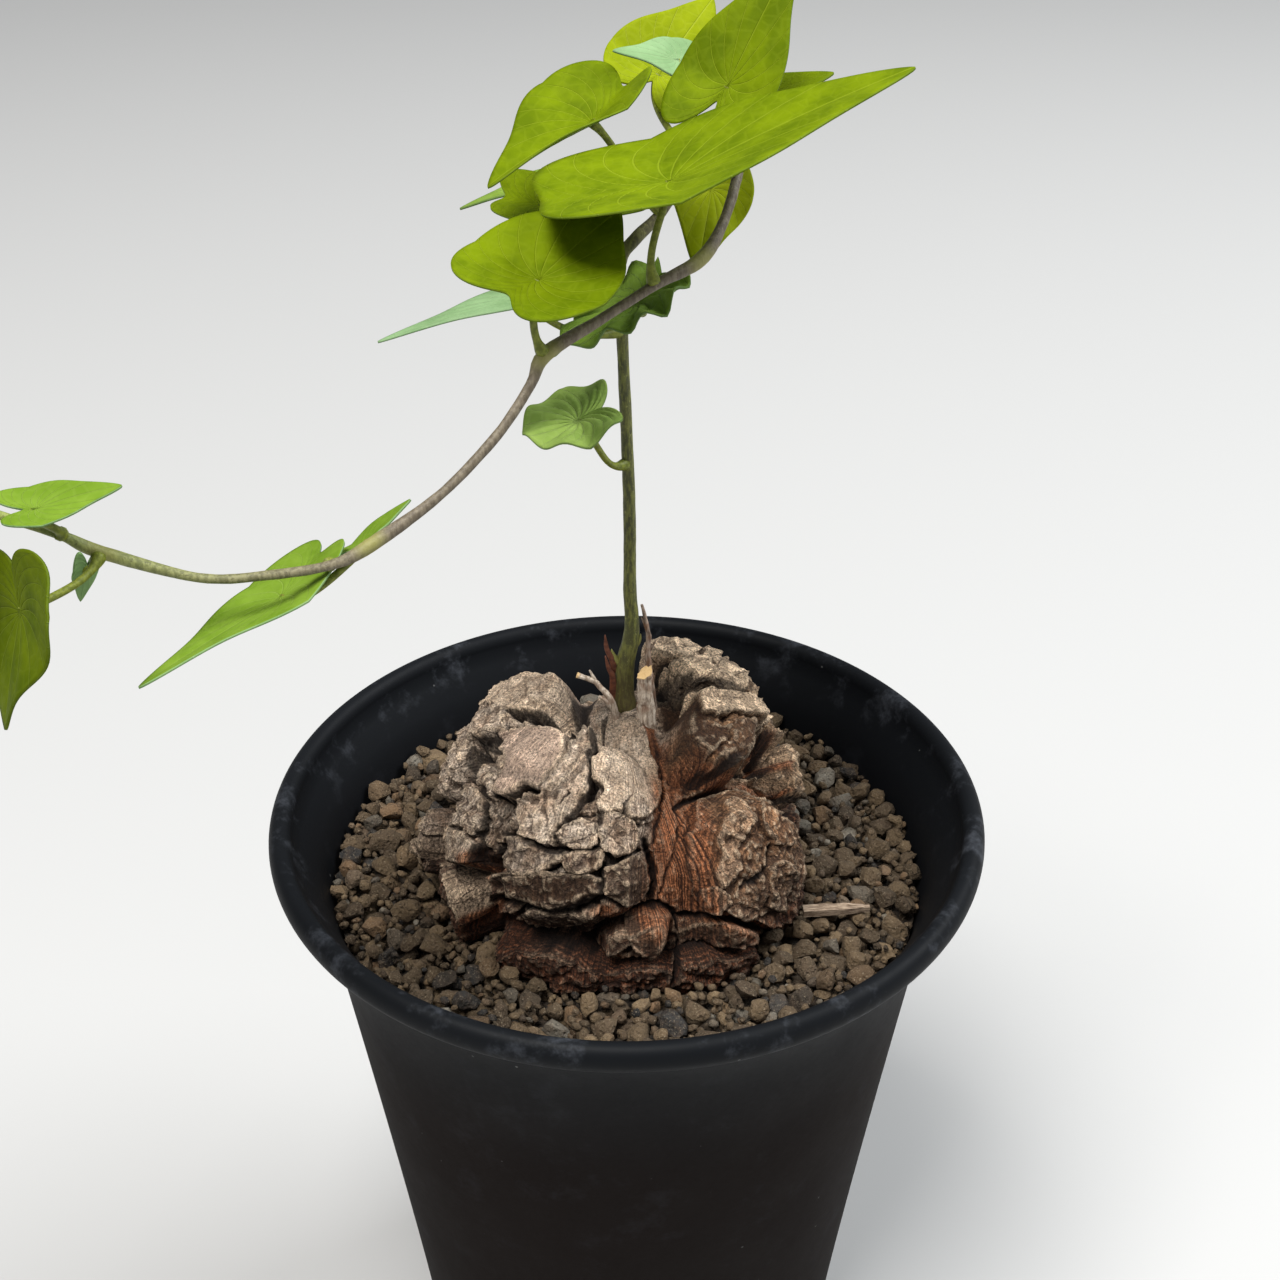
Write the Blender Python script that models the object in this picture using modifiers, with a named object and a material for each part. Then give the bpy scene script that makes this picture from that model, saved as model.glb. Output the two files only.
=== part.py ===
"""Potted elephant's foot plant: a plastic pot of gravel, the corky caudex, its vine and its leaves.

Lengths below are in millimetres, and MM turns them into Blender's metres. The origin is the
middle of the pot's underside, on the surface that it stands on, with +Z up and +Y away from
the side that the caudex shows best.
"""
import math

import bmesh
import bpy
import numpy as np
from mathutils import Matrix, Vector, noise

MM = 0.001
GAP = 0.3

# Pot: a turned shell whose wall widens in a soft flare into a rolled rim
POT_RADIUS = 60.0
RIM_CENTRE_Z = 126.1
RIM_HALF_WIDTH = 1.9
RIM_HALF_HEIGHT = 2.5
WALL = 2.0
FLOOR = 2.4
FOOT_RADIUS = 38.6
FOOT_ROUND = 1.2
WALL_RADIUS_AT_SOIL = 52.4
WALL_POWER = 1.13
FLARE = 6.0
FLARE_FADE = 4.5
SOIL_Z = 116.4
WALL_HEIGHTS = (FOOT_ROUND, 24.0, 48.0, 72.0, 92.0, 107.0, SOIL_Z, 120.5, 123.6)
POT_STEPS = 40
DRAIN_COUNT = 6
DRAIN_RADIUS = 4.0
DRAIN_RING = 24.0

# Soil: the pot's fill, with stones larger than life raised from its top
SOIL_MOUND = 1.2
SOIL_STEPS = 80
SOIL_RINGS = 12
SOIL_INNER = 20.0
SOIL_OUTER = 50.0
STONE_SIZE = 5.6
STONE_HEIGHT = 2.3
STONE_SHOULDER = 0.5
STONE_SUNK = 0.45

# Caudex: a plain body around its heart, with lobes that stand out of it
HEART = Vector((0.0, -3.0, 120.4))
BODY_HALF_WIDTH = 25.0
BODY_UP = 21.0
BODY_DOWN = 15.0
BODY_POWER = 2.4
CROWN = Vector((-0.3, 2.0, 145.8))
CROWN_RADIUS = 3.4
CROWN_FADE = 3.5
LOBE_POWER = 2.8
LOBE_EDGE = 0.42
LOBE_ROUND = 0.12
LOBE_WANDER = 0.10
WANDER_SCALE = 2.6
CRACK_WIDTH = 1.5
CRACK_DEPTH = 1.8
PLATE_SIZE = 9.0
PLATE_DEPTH = 0.8
PLATE_BORDER = 0.22
ROUGH_HEIGHT = 0.7
ROUGH_SCALE = 6.0
SKIN_FADE_FROM = -0.55
SKIN_FADE_WIDTH = 0.35
COARSE_BELOW = -0.35
POCKET_CLEARANCE = 0.45
# Each lobe: azimuth, elevation, half width, half height, turn (degrees), height
LOBES = (
    (-111, 42, 22, 31, 8, 6.5),
    (-142, 57, 15, 14, 30, 8.5),
    (160, 50, 20, 14, -12, 11.5),
    (174, 29, 13, 14, 0, 9.5),
    (-155, 29, 11, 19, 10, 7.5),
    (-176, 4, 10, 9, 0, 8.5),
    (-152, -1, 11, 10, 0, 8.0),
    (48, 56, 17, 14, 0, 12.5),
    (24, 42, 11, 11, 20, 8.5),
    (-14, 53, 23, 14, 8, 9.5),
    (11, 22, 11, 9, 0, 7.0),
    (-43, 20, 22, 24, 0, 6.0),
    (-86, 7, 8, 7, 0, 5.0),
    (-86, -9, 13, 8, 0, 6.5),
    (-110, -7, 22, 9, 0, 7.0),
    (-60, -9, 18, 9, 0, 7.0),
    (-17, -6, 16, 10, 0, 6.0),
    (100, 24, 19, 15, 10, 7.0),
    (130, 8, 18, 15, 0, 7.0),
    (82, -2, 19, 11, 0, 6.5),
    (48, 16, 17, 16, 0, 7.0),
    (155, -6, 12, 10, 0, 6.0),
    (18, -6, 14, 9, 0, 6.0),
    (115, -10, 14, 8, 0, 5.5),
    (52, -9, 14, 8, 0, 5.5),
)

# Cracks in the bark, as azimuth and elevation of the points that each one runs through
CRACKS = {
    "zigzag of the front lobe": ((-118, 68), (-111, 59), (-110, 53), (-113, 49), (-116, 41)),
    "right of the smooth plate": ((-142, 67), (-131, 57), (-131, 49), (-137, 42), (-134, 35)),
    "above the smooth plate": ((-174, 52), (-150, 68), (-170, 76)),
    "left of the smooth plate": ((-174, 50), (-176, 41), (-162, 39), (-149, 39), (-141, 40)),
    "upper row of blocks": ((-141, 31), (-125, 34), (-113, 33), (-100, 34), (-88, 36), (-81, 38)),
    "lower row of blocks": ((-139, 22), (-121, 27), (-111, 32), (-101, 33)),
    "between the blocks": ((-111, 45), (-100, 48), (-89, 50), (-86, 52)),
    "under the front lobe": ((-139, 7), (-130, 7), (-112, 18), (-98, 24), (-98, 30), (-101, 38)),
    "seam of the foot": ((-71, 11), (-73, 2), (-77, -6)),
    "top of the foot": ((-102, 3), (-87, 14), (-78, 18), (-71, 11), (-59, 15), (-33, -9)),
    "middle groove": ((0, 80), (-47, 67), (-60, 49), (-73, 37), (-78, 19)),
    "under the shoulder": ((-60, 49), (-51, 50), (-43, 48), (-31, 38)),
    "left of the shoulder": ((-23, 69), (-49, 54), (-38, 51), (-25, 46)),
    "top of the shoulder": ((56, 71), (40, 69), (23, 64), (22, 51)),
    "fold of the left hump": ((178, 55), (176, 60), (158, 67)),
    "left knob": ((-173, 27), (-155, 39), (-146, 30), (-142, 26)),
}

# Stem and vine: hand-placed points, with the thickness at each
STEM_POINTS = (
    ((-0.3, 2.0, 146.1), 2.5), ((-0.2, 2.0, 148.2), 1.9), ((0.3, 2.0, 158.5), 1.75),
    ((0.9, 2.0, 170.6), 1.3), ((0.4, 2.0, 189.1), 1.2), ((-0.4, 2.0, 211.8), 1.0),
    ((-0.6, 2.2, 221.8), 1.05), ((1.6, 3.2, 225.2), 1.15), ((5.3, 5.5, 228.3), 1.0),
    ((9.2, 5.1, 235.2), 0.95), ((12.0, 1.1, 240.2), 0.95), ((14.9, -5.3, 241.2), 0.95),
    ((15.1, -10.2, 239.1), 0.95), ((12.9, -16.8, 234.2), 0.95), ((9.9, -21.2, 231.0), 1.2),
    ((4.1, -24.8, 229.0), 0.9), ((-2.9, -28.1, 225.6), 0.9), ((-9.8, -31.4, 222.3), 1.25),
    ((-11.7, -33.5, 219.0), 0.9), ((-15.8, -37.7, 214.1), 0.9), ((-22.9, -42.7, 208.2), 0.85),
    ((-31.4, -47.8, 203.8), 1.15), ((-36.0, -50.8, 202.7), 0.85), ((-43.0, -53.2, 202.7), 0.85),
    ((-51.1, -55.1, 203.4), 0.8), ((-62.0, -56.9, 208.0), 1.05), ((-66.1, -57.6, 210.7), 0.8),
    ((-72.5, -58.1, 213.6), 0.75), ((-79.0, -59.0, 217.5), 0.85), ((-85.0, -58.0, 223.0), 0.6),
    ((-88.0, -55.0, 230.0), 0.4),
)
STEM_STEP = 4.2

# Leaves: heart outline around the point where the petiole meets the blade
BLADE = 0.65
PETIOLE_RADIUS = 0.65
OUTLINE_BODY = 0.56
OUTLINE_TIP = 0.44
TIP_SPREAD = 17.0
TIP_POWER = 1.3
OUTLINE_SINUS = 0.42
SINUS_SPREAD = 24.0
LOBE_LIFT = 0.3
HALF_TURNS = (14, 38, 70, 105, 135, 160)
LEAF_RINGS = (0.55, 1.0)
PETIOLE_STEPS = 3
PETIOLE_DOWN = 0.7
PETIOLE_BACK = 0.5
# Each leaf: foot (near its place on the vine), base and tip of the blade, the side that faces
# up, and the blade's width, fold, arch, wave and the number of waves round its edge
LEAVES = {
    "leaf_front": ((4.1, -24.8, 229.0), (6, -23, 242), (36, -19, 255), (-0.3, 0.0, 0.95),
                   (0.85, 0.12, 0.06, 0.4, 3)),
    "leaf_top": ((12.6, 0.0, 240.5), (14, -1, 248), (23, 6, 264), (-0.5, -0.8, 0.4),
                 (0.70, 0.15, 0.05, 0.3, 3)),
    "leaf_sliver": ((13.5, -2.5, 240.8), (19, 7, 244), (29, 9, 247), (0.0, -0.1, 1.0),
                    (0.90, 0.10, 0.10, 0.2, 3)),
    "leaf_pair": ((9.2, 5.1, 235.2), (5, 20, 244), (13, 31, 252), (0.1, -0.7, 0.6),
                  (0.95, 0.10, 0.10, 0.3, 3)),
    "leaf_under": ((10.6, 3.3, 237.8), (7, 11, 252), (-3, 9, 255), (0.1, 0.8, 0.5),
                   (0.80, 0.15, 0.10, 0.3, 3)),
    "leaf_upper_left": ((5.3, 5.5, 228.3), (-5, 2, 243), (-18, -10, 237), (-0.2, -0.5, 0.8),
                        (0.80, 0.25, 0.12, 0.4, 3)),
    "leaf_dark_tip": ((-0.4, 2.0, 216.0), (-11, 13, 230), (-24, 11, 227), (0.0, 0.1, 1.0),
                      (0.80, 0.15, 0.10, 0.2, 3)),
    "leaf_left": ((-0.6, 2.2, 220.0), (-12, -1, 232), (3, -2, 236), (-0.1, -0.3, 0.9),
                  (1.00, 0.15, 0.08, 0.4, 3)),
    "leaf_mid": ((-9.8, -31.4, 222.3), (-16, -32, 229), (-3, -18, 230), (0.0, -0.45, 0.85),
                 (1.10, 0.15, 0.10, 0.4, 3)),
    "leaf_small_pale": ((-0.4, 2.0, 211.8), (-12, -9, 224), (-34, -18, 218), (0.1, 0.6, 0.8),
                        (0.55, 0.15, 0.06, 0.2, 3)),
    "leaf_right": ((9.2, 5.1, 235.2), (12, -2, 234), (10, -9, 225), (0.2, -0.95, 0.4),
                   (0.90, 0.05, 0.05, 0.5, 5)),
    "leaf_crinkled": ((-0.4, 2.0, 213.0), (6, -6, 222), (-8, -16, 217), (0.3, -0.4, 0.85),
                      (0.90, 0.10, 0.10, 0.8, 7)),
    "leaf_on_stem": ((0.4, 2.0, 190.5), (-7, -6, 202.5), (-14, -12, 200), (-0.1, -0.8, 0.6),
                     (1.30, 0.05, 0.15, 0.8, 5)),
    "leaf_long": ((-31.4, -47.8, 203.8), (-40, -52, 198), (-56, -67, 195), (-0.2, -0.3, 0.9),
                  (0.60, 0.20, 0.03, 0.3, 3)),
    "leaf_edge": ((-36.0, -50.8, 202.7), (-32, -41, 204), (-27, -35, 207), (0.3, 0.2, 0.9),
                  (0.60, 0.20, 0.10, 0.2, 3)),
    "leaf_hang": ((-62.0, -56.9, 208.0), (-67, -66, 207), (-69, -79, 195), (-0.7, -0.55, 0.3),
                  (0.95, 0.10, 0.05, 0.5, 5)),
    "leaf_pale_left": ((-66.1, -57.6, 210.7), (-67, -61, 216), (-58, -57, 217), (0.1, -0.2, 1.0),
                       (0.70, 0.15, 0.10, 0.2, 3)),
    "leaf_narrow": ((-62.0, -56.9, 208.0), (-65, -54, 204), (-67, -53, 199), (-0.6, 0.7, 0.2),
                    (0.60, 0.20, 0.10, 0.2, 3)),
    "leaf_shoot": ((-79.0, -59.0, 217.5), (-83, -66, 222), (-96, -74, 218), (0.1, -0.3, 0.9),
                   (0.85, 0.15, 0.12, 0.3, 3)),
    "leaf_newest": ((-85.0, -58.0, 223.0), (-83, -53, 226), (-78, -46, 229), (-0.3, 0.2, 0.9),
                    (0.80, 0.30, 0.10, 0.2, 3)),
}

# Dead wood and scales at the crown: hand-placed points, with the thickness at each
TWIGS = {
    "twig_left": (((-3.4, -0.9, 146.05), 0.7), ((-4.0, -1.5, 150.5), 0.65), ((-5.6, -1.8, 152.4), 0.6),
                  ((-8.4, -2.0, 153.4), 0.45)),
    "twig_right": (((4.9, 2.3, 144.9), 0.8), ((4.6, 2.0, 153.0), 0.7), ((4.1, 2.2, 160.0), 0.5),
                   ((3.4, 2.0, 166.0), 0.25)),
    "stump": (((3.5, -1.5, 145.95), 1.5), ((3.3, -1.4, 150.0), 1.3), ((3.2, -1.3, 153.6), 1.15)),
    "scale_left": (((-3.9, 1.8, 146.15), 0.7), ((-3.4, 1.2, 152.0), 0.6), ((-4.3, 0.6, 160.0), 0.15)),
}
TWIG_STEP = 2.0

# Bark chip on the gravel
CHIP_SIZE = (11.0, 2.2, 1.2)
CHIP_BEVEL = 0.25
CHIP_PLACE = (34.4, -17.2, 118.4)
CHIP_TURN = 4.0

# Base colour, roughness and metallic of each kind of piece
FINISHES = {
    "pot": ((0.010, 0.009, 0.009), 0.42, 0.0),
    "soil": ((0.17, 0.12, 0.07), 0.9, 0.0),
    "caudex": ((0.24, 0.16, 0.09), 0.85, 0.0),
    "stem": ((0.09, 0.11, 0.03), 0.55, 0.0),
    "leaf": ((0.20, 0.36, 0.02), 0.45, 0.0),
    "twig": ((0.30, 0.21, 0.14), 0.85, 0.0),
    "stump": ((0.28, 0.20, 0.14), 0.85, 0.0),
    "scale": ((0.13, 0.03, 0.015), 0.6, 0.0),
    "bark": ((0.17, 0.11, 0.07), 0.85, 0.0),
}


def clear_scene():
    for item in list(bpy.data.objects):
        bpy.data.objects.remove(item, do_unlink=True)


def new_collection(name, hidden=False):
    collection = bpy.data.collections.new(name)
    collection.hide_render = hidden
    bpy.context.scene.collection.children.link(collection)
    return collection


def finish_material(name, kind):
    colour, roughness, metallic = FINISHES[kind]
    material = bpy.data.materials.new(name)
    material.use_nodes = True
    shader = material.node_tree.nodes["Principled BSDF"]
    shader.inputs["Base Color"].default_value = (*colour, 1.0)
    shader.inputs["Roughness"].default_value = roughness
    shader.inputs["Metallic"].default_value = metallic
    material.diffuse_color = (*colour, 1.0)
    return material


def add_object(name, data, collection, kind=None):
    item = bpy.data.objects.new(name, data)
    collection.objects.link(item)
    if kind:
        data.materials.append(finish_material(name, kind))
    return item


def mesh_from(bm, name, smooth_degrees=None):
    mesh = bpy.data.meshes.new(name)
    bm.to_mesh(mesh)
    bm.free()
    if smooth_degrees:
        mesh.shade_smooth()
        mesh.set_sharp_from_angle(angle=math.radians(smooth_degrees))
    return mesh


def evaluated_mesh(item):
    depsgraph = bpy.context.evaluated_depsgraph_get()
    mesh = bpy.data.meshes.new_from_object(item.evaluated_get(depsgraph))
    bm = bmesh.new()
    bm.from_mesh(mesh)
    bmesh.ops.remove_doubles(bm, verts=bm.verts, dist=0.001 * MM)
    bm.to_mesh(mesh)
    bm.free()
    return mesh


def apply_boolean(target, cutter, operation):
    modifier = target.modifiers.new(operation.title(), "BOOLEAN")
    modifier.operation = operation
    modifier.object = cutter
    modifier.solver = "EXACT"
    mesh = evaluated_mesh(target)
    target.modifiers.clear()
    target.data = mesh


def smooth_step(edge, width, value):
    t = np.clip((value - edge) / width, 0.0, 1.0)
    return t * t * (3.0 - 2.0 * t)


def catmull_rom(points, step):
    """Points about a step apart on a smooth curve through rows of x, y, z and radius."""
    rows = [np.array((*place, radius)) for place, radius in points]
    rows = [2 * rows[0] - rows[1]] + rows + [2 * rows[-1] - rows[-2]]
    smooth = []
    for before, start, end, after in zip(rows, rows[1:], rows[2:], rows[3:]):
        count = max(1, round(np.linalg.norm((end - start)[:3]) / step))
        for index in range(count):
            t = index / count
            smooth.append(0.5 * (2 * start + (end - before) * t
                                 + (2 * before - 5 * start + 4 * end - after) * t * t
                                 + (3 * start - before - 3 * end + after) * t * t * t))
    smooth.append(rows[-2])
    return smooth


def wall_radius(z):
    rise = max(z, 0.0) / SOIL_Z
    flare = FLARE * math.exp(-(RIM_CENTRE_Z - z) / FLARE_FADE)
    return FOOT_RADIUS + (WALL_RADIUS_AT_SOIL - FOOT_RADIUS) * rise ** WALL_POWER + flare


def pot_profile():
    """Radius and height from the middle of the floor, over the rim and down to the underside."""
    inner = [(wall_radius(z) - WALL, z) for z in WALL_HEIGHTS if z > FLOOR]
    rim_middle = POT_RADIUS - RIM_HALF_WIDTH
    rim = [(rim_middle - RIM_HALF_WIDTH * math.cos(math.radians(turn)),
            RIM_CENTRE_Z + RIM_HALF_HEIGHT * math.sin(math.radians(turn)))
           for turn in range(0, 241, 30)]
    outer = [(wall_radius(z), z) for z in reversed(WALL_HEIGHTS)]
    foot = [(FOOT_RADIUS - FOOT_ROUND, 0.0), (0.0, 0.0)]
    floor = [(0.0, FLOOR), (wall_radius(FLOOR) - WALL, FLOOR)]
    return floor + inner + rim + outer[1:] + foot


def turned(name, profile, steps, collection, kind):
    mesh = bpy.data.meshes.new(name)
    points = [(radius * MM, 0.0, z * MM) for radius, z in profile]
    mesh.from_pydata(points, [(i, i + 1) for i in range(len(points) - 1)], [])
    item = add_object(name, mesh, collection, kind)
    screw = item.modifiers.new("Screw", "SCREW")
    screw.steps = steps
    screw.render_steps = steps
    screw.use_merge_vertices = True
    screw.merge_threshold = 0.01 * MM
    screw.use_smooth_shade = True
    return item


def make_pot(collection, cutters):
    pot = turned("pot", pot_profile(), POT_STEPS, collection, "pot")
    bm = bmesh.new()
    for index in range(DRAIN_COUNT):
        turn = math.tau * (index + 0.5) / DRAIN_COUNT
        place = Vector((DRAIN_RING * math.cos(turn), DRAIN_RING * math.sin(turn), FLOOR / 2)) * MM
        bmesh.ops.create_cone(bm, cap_ends=True, segments=12, radius1=DRAIN_RADIUS * MM,
                              radius2=DRAIN_RADIUS * MM, depth=3 * FLOOR * MM,
                              matrix=Matrix.Translation(place))
    drills = add_object("drain_drills", mesh_from(bm, "drain_drills"), cutters)
    drills.hide_render = True
    drills.display_type = "WIRE"
    apply_boolean(pot, drills, "DIFFERENCE")
    pot.data.shade_smooth()
    pot.data.set_sharp_from_angle(angle=math.radians(40))


def noise_values(points, scale, seed):
    shift = Vector((seed * 7.3, seed * 3.1, seed * 5.7))
    return np.array([noise.noise(Vector(point) * scale + shift) for point in points])


def lobe_height(directions):
    """How far each direction's skin stands out of the plain body."""
    warp = np.stack([noise_values(directions, WANDER_SCALE, seed) for seed in (1, 2, 3)], axis=1)
    warped = directions + LOBE_WANDER * warp
    warped /= np.linalg.norm(warped, axis=1, keepdims=True)
    height = np.zeros(len(directions))
    for azimuth, elevation, half_width, half_height, turn, rise in LOBES:
        centre = heading(azimuth, elevation)
        across = heading(azimuth + 90, 0)
        roll = math.radians(turn)
        along = np.cross(centre, across)
        facing = np.maximum(warped @ centre, 0.001)
        a = np.degrees(np.arctan2(warped @ across, facing))
        b = np.degrees(np.arctan2(warped @ along, facing))
        a, b = a * math.cos(roll) + b * math.sin(roll), b * math.cos(roll) - a * math.sin(roll)
        ratio = np.abs(a / half_width) ** LOBE_POWER + np.abs(b / half_height) ** LOBE_POWER
        distance = ratio ** (1.0 / LOBE_POWER)
        lobe = rise * (1.0 - smooth_step(1.0 - LOBE_EDGE / 2, LOBE_EDGE, distance))
        height = np.maximum(height, lobe * (1.0 - LOBE_ROUND * np.minimum(distance, 1.0) ** 2))
    return height


def heading(azimuth, elevation):
    """Unit vector for an azimuth from +X and an elevation, in degrees."""
    az, el = math.radians(azimuth), math.radians(elevation)
    return np.array((math.cos(el) * math.cos(az), math.cos(el) * math.sin(az), math.sin(el)))


def crack_depth(directions):
    """Depth of the bark's cracks: the named ones, and the borders of its plates."""
    nearest = np.full(len(directions), 10.0)
    for turns in CRACKS.values():
        line = [heading(*turn) for turn in turns]
        for start, end in zip(line, line[1:]):
            run = end - start
            t = np.clip((directions - start) @ run / (run @ run), 0.0, 1.0)
            away = np.linalg.norm(directions - start - t[:, None] * run, axis=1)
            nearest = np.minimum(nearest, away * BODY_HALF_WIDTH)
    depth = CRACK_DEPTH * (1.0 - smooth_step(0.0, CRACK_WIDTH, nearest))
    pairs = [noise.voronoi(Vector(direction) * BODY_HALF_WIDTH / PLATE_SIZE)[0][:2]
             for direction in directions]
    border = np.array([next_near - near for near, next_near in pairs])
    return depth + PLATE_DEPTH * (1.0 - smooth_step(0.0, PLATE_BORDER, border))


def caudex_skin(directions):
    """Points in millimetres on the caudex for unit directions from its heart."""
    up = np.where(directions[:, 2] > 0, BODY_UP, BODY_DOWN)
    ratio = (np.abs(directions[:, 0] / BODY_HALF_WIDTH) ** BODY_POWER
             + np.abs(directions[:, 1] / BODY_HALF_WIDTH) ** BODY_POWER
             + np.abs(directions[:, 2] / up) ** BODY_POWER)
    radius = ratio ** (-1.0 / BODY_POWER)
    above_soil = smooth_step(SKIN_FADE_FROM, SKIN_FADE_WIDTH, directions[:, 2])
    relief = lobe_height(directions) - crack_depth(directions)
    relief += ROUGH_HEIGHT * noise_values(directions, ROUGH_SCALE, 4)
    radius += above_soil * relief
    points = np.array(HEART) + directions * radius[:, None]
    near_stem = np.hypot(points[:, 0] - CROWN.x, points[:, 1] - CROWN.y)
    level = (1.0 - smooth_step(CROWN_RADIUS, CROWN_FADE, near_stem)) * (directions[:, 2] > 0)
    points[:, 2] += level * (CROWN.z - points[:, 2])
    return points


def make_caudex(collection):
    bm = bmesh.new()
    bmesh.ops.create_icosphere(bm, subdivisions=4, radius=1.0)
    shown = [edge for edge in bm.edges if all(vert.co.z > COARSE_BELOW for vert in edge.verts)]
    bmesh.ops.subdivide_edges(bm, edges=shown, cuts=1, use_grid_fill=True)
    bmesh.ops.triangulate(bm, faces=bm.faces)
    directions = np.array([vert.co.normalized() for vert in bm.verts])
    for vert, point in zip(bm.verts, caudex_skin(directions)):
        vert.co = Vector(point) * MM
    return add_object("caudex", mesh_from(bm, "caudex", 50), collection, "caudex")


def soil_height(x, y):
    """Top of the gravel at a place: a low mound with the domes of stones on it."""
    radius = math.hypot(x, y)
    near, next_near = noise.voronoi(Vector((x, y, 0.0)) / STONE_SIZE)[0][:2]
    stone = STONE_HEIGHT * (min((next_near - near) / STONE_SHOULDER, 1.0) - STONE_SUNK)
    mound = SOIL_MOUND * max(0.0, 1.0 - (radius - SOIL_INNER) / (SOIL_OUTER - SOIL_INNER))
    return SOIL_Z + mound + stone


def make_soil(collection, cutters, caudex):
    """The fill follows the pot's inner wall, and a pocket in its top holds the caudex."""
    heights = [FLOOR + GAP] + [z for z in WALL_HEIGHTS if FLOOR < z <= SOIL_Z]
    bm = bmesh.new()
    bmesh.ops.create_circle(bm, segments=SOIL_STEPS, radius=1.0)
    edges = list(bm.edges)
    bmesh.ops.contextual_create(bm, geom=edges)
    rings = [(wall_radius(z) - WALL - GAP, z) for z in heights]
    rim = rings[-1][0]
    rings += [(radius, None) for radius in np.linspace(rim, SOIL_INNER, SOIL_RINGS)[1:]]
    place_ring({vert for edge in edges for vert in edge.verts}, *rings[0])
    for radius, z in rings[1:]:
        grown = bmesh.ops.extrude_edge_only(bm, edges=edges)["geom"]
        edges = [part for part in grown if isinstance(part, bmesh.types.BMEdge)
                 and part.is_boundary]
        place_ring({vert for edge in edges for vert in edge.verts}, radius, z)
    bmesh.ops.contextual_create(bm, geom=edges)
    bmesh.ops.recalc_face_normals(bm, faces=bm.faces)
    bmesh.ops.triangulate(bm, faces=bm.faces)
    soil = add_object("soil", mesh_from(bm, "soil"), collection, "soil")
    pocket = add_object("soil_pocket", pocket_mesh(caudex), cutters)
    pocket.hide_render = True
    pocket.display_type = "WIRE"
    apply_boolean(soil, pocket, "DIFFERENCE")


def place_ring(verts, radius, z):
    for vert in verts:
        turn = math.atan2(vert.co.y, vert.co.x)
        x, y = radius * math.cos(turn), radius * math.sin(turn)
        vert.co = Vector((x, y, soil_height(x, y) if z is None else z)) * MM


def pocket_mesh(caudex):
    bm = bmesh.new()
    bm.from_mesh(caudex.data)
    bm.normal_update()
    for vert in bm.verts:
        vert.co += vert.normal * POCKET_CLEARANCE * MM
    return mesh_from(bm, "soil_pocket")


def tube(name, rows, collection, kind, resolution=2):
    """A closed tube along rows of x, y, z and radius."""
    curve = bpy.data.curves.new(name, "CURVE")
    curve.dimensions = "3D"
    curve.bevel_depth = MM
    curve.bevel_resolution = resolution
    curve.use_fill_caps = True
    spline = curve.splines.new("POLY")
    spline.points.add(len(rows) - 1)
    for point, (x, y, z, radius) in zip(spline.points, rows):
        point.co = (x * MM, y * MM, z * MM, 1.0)
        point.radius = radius
    guide = add_object(name + "_guide", curve, collection)
    mesh = evaluated_mesh(guide)
    bpy.data.objects.remove(guide, do_unlink=True)
    mesh.name = name
    mesh.shade_smooth()
    mesh.set_sharp_from_angle(angle=math.radians(50))
    return add_object(name, mesh, collection, kind)


def nearest_on_stem(rows, place):
    """The stem's centre, direction and radius nearest to a place."""
    index = min(range(1, len(rows) - 1),
                key=lambda i: np.linalg.norm(rows[i][:3] - np.array(place)))
    direction = Vector(rows[index + 1][:3] - rows[index - 1][:3]).normalized()
    return Vector(rows[index][:3]), direction, rows[index][3]


def leaf_outline(turn):
    """Edge of the heart-shaped blade, in blade lengths, at an angle from the tip."""
    degrees = abs(math.degrees(math.remainder(turn, math.tau)))
    tip = OUTLINE_TIP * math.exp(-(degrees / TIP_SPREAD) ** TIP_POWER)
    sinus = OUTLINE_SINUS * math.exp(-((180.0 - degrees) / SINUS_SPREAD) ** 2)
    return OUTLINE_BODY + tip - sinus


def blade_point(turn, part, length, width, fold, arch, wave, waves):
    """Place on the flat leaf's frame: along the midrib, across it and up from it."""
    reach = PETIOLE_RADIUS + part * (leaf_outline(turn) * length - PETIOLE_RADIUS)
    along = reach * math.cos(turn)
    across = reach * math.sin(turn) * width
    lift = fold * (math.hypot(across, 1.0) - 1.0)
    lift += arch * max(along, 0.0) * (1.0 - along / length)
    lift += LOBE_LIFT * max(-along, 0.0)
    lift += wave * part ** 2 * math.sin(waves * turn)
    return Vector((along, across, lift))


def petiole_path(base, frame, centre, direction, radius):
    """Points from the blade's underside to just off the stem."""
    toward = base - centre
    toward = (toward - direction * toward.dot(direction)).normalized()
    end = centre + toward * (radius + GAP)
    start = base - frame.col[2].xyz * BLADE
    reach = (end - start).length / 3
    away = frame.col[2].xyz * PETIOLE_DOWN + frame.col[0].xyz * PETIOLE_BACK
    leave = start - away.normalized() * reach
    arrive = end + toward * reach
    path = []
    for index in range(1, PETIOLE_STEPS + 1):
        t = index / PETIOLE_STEPS
        path.append(start * (1 - t) ** 3 + leave * 3 * t * (1 - t) ** 2
                    + arrive * 3 * t * t * (1 - t) + end * t ** 3)
    return [start] + path


def blade_turns():
    """Angles round the blade, closer together towards its tip and its sinus."""
    half = [math.radians(turn) for turn in HALF_TURNS]
    return [0.0] + half + [math.pi] + [-turn for turn in reversed(half)]


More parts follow.
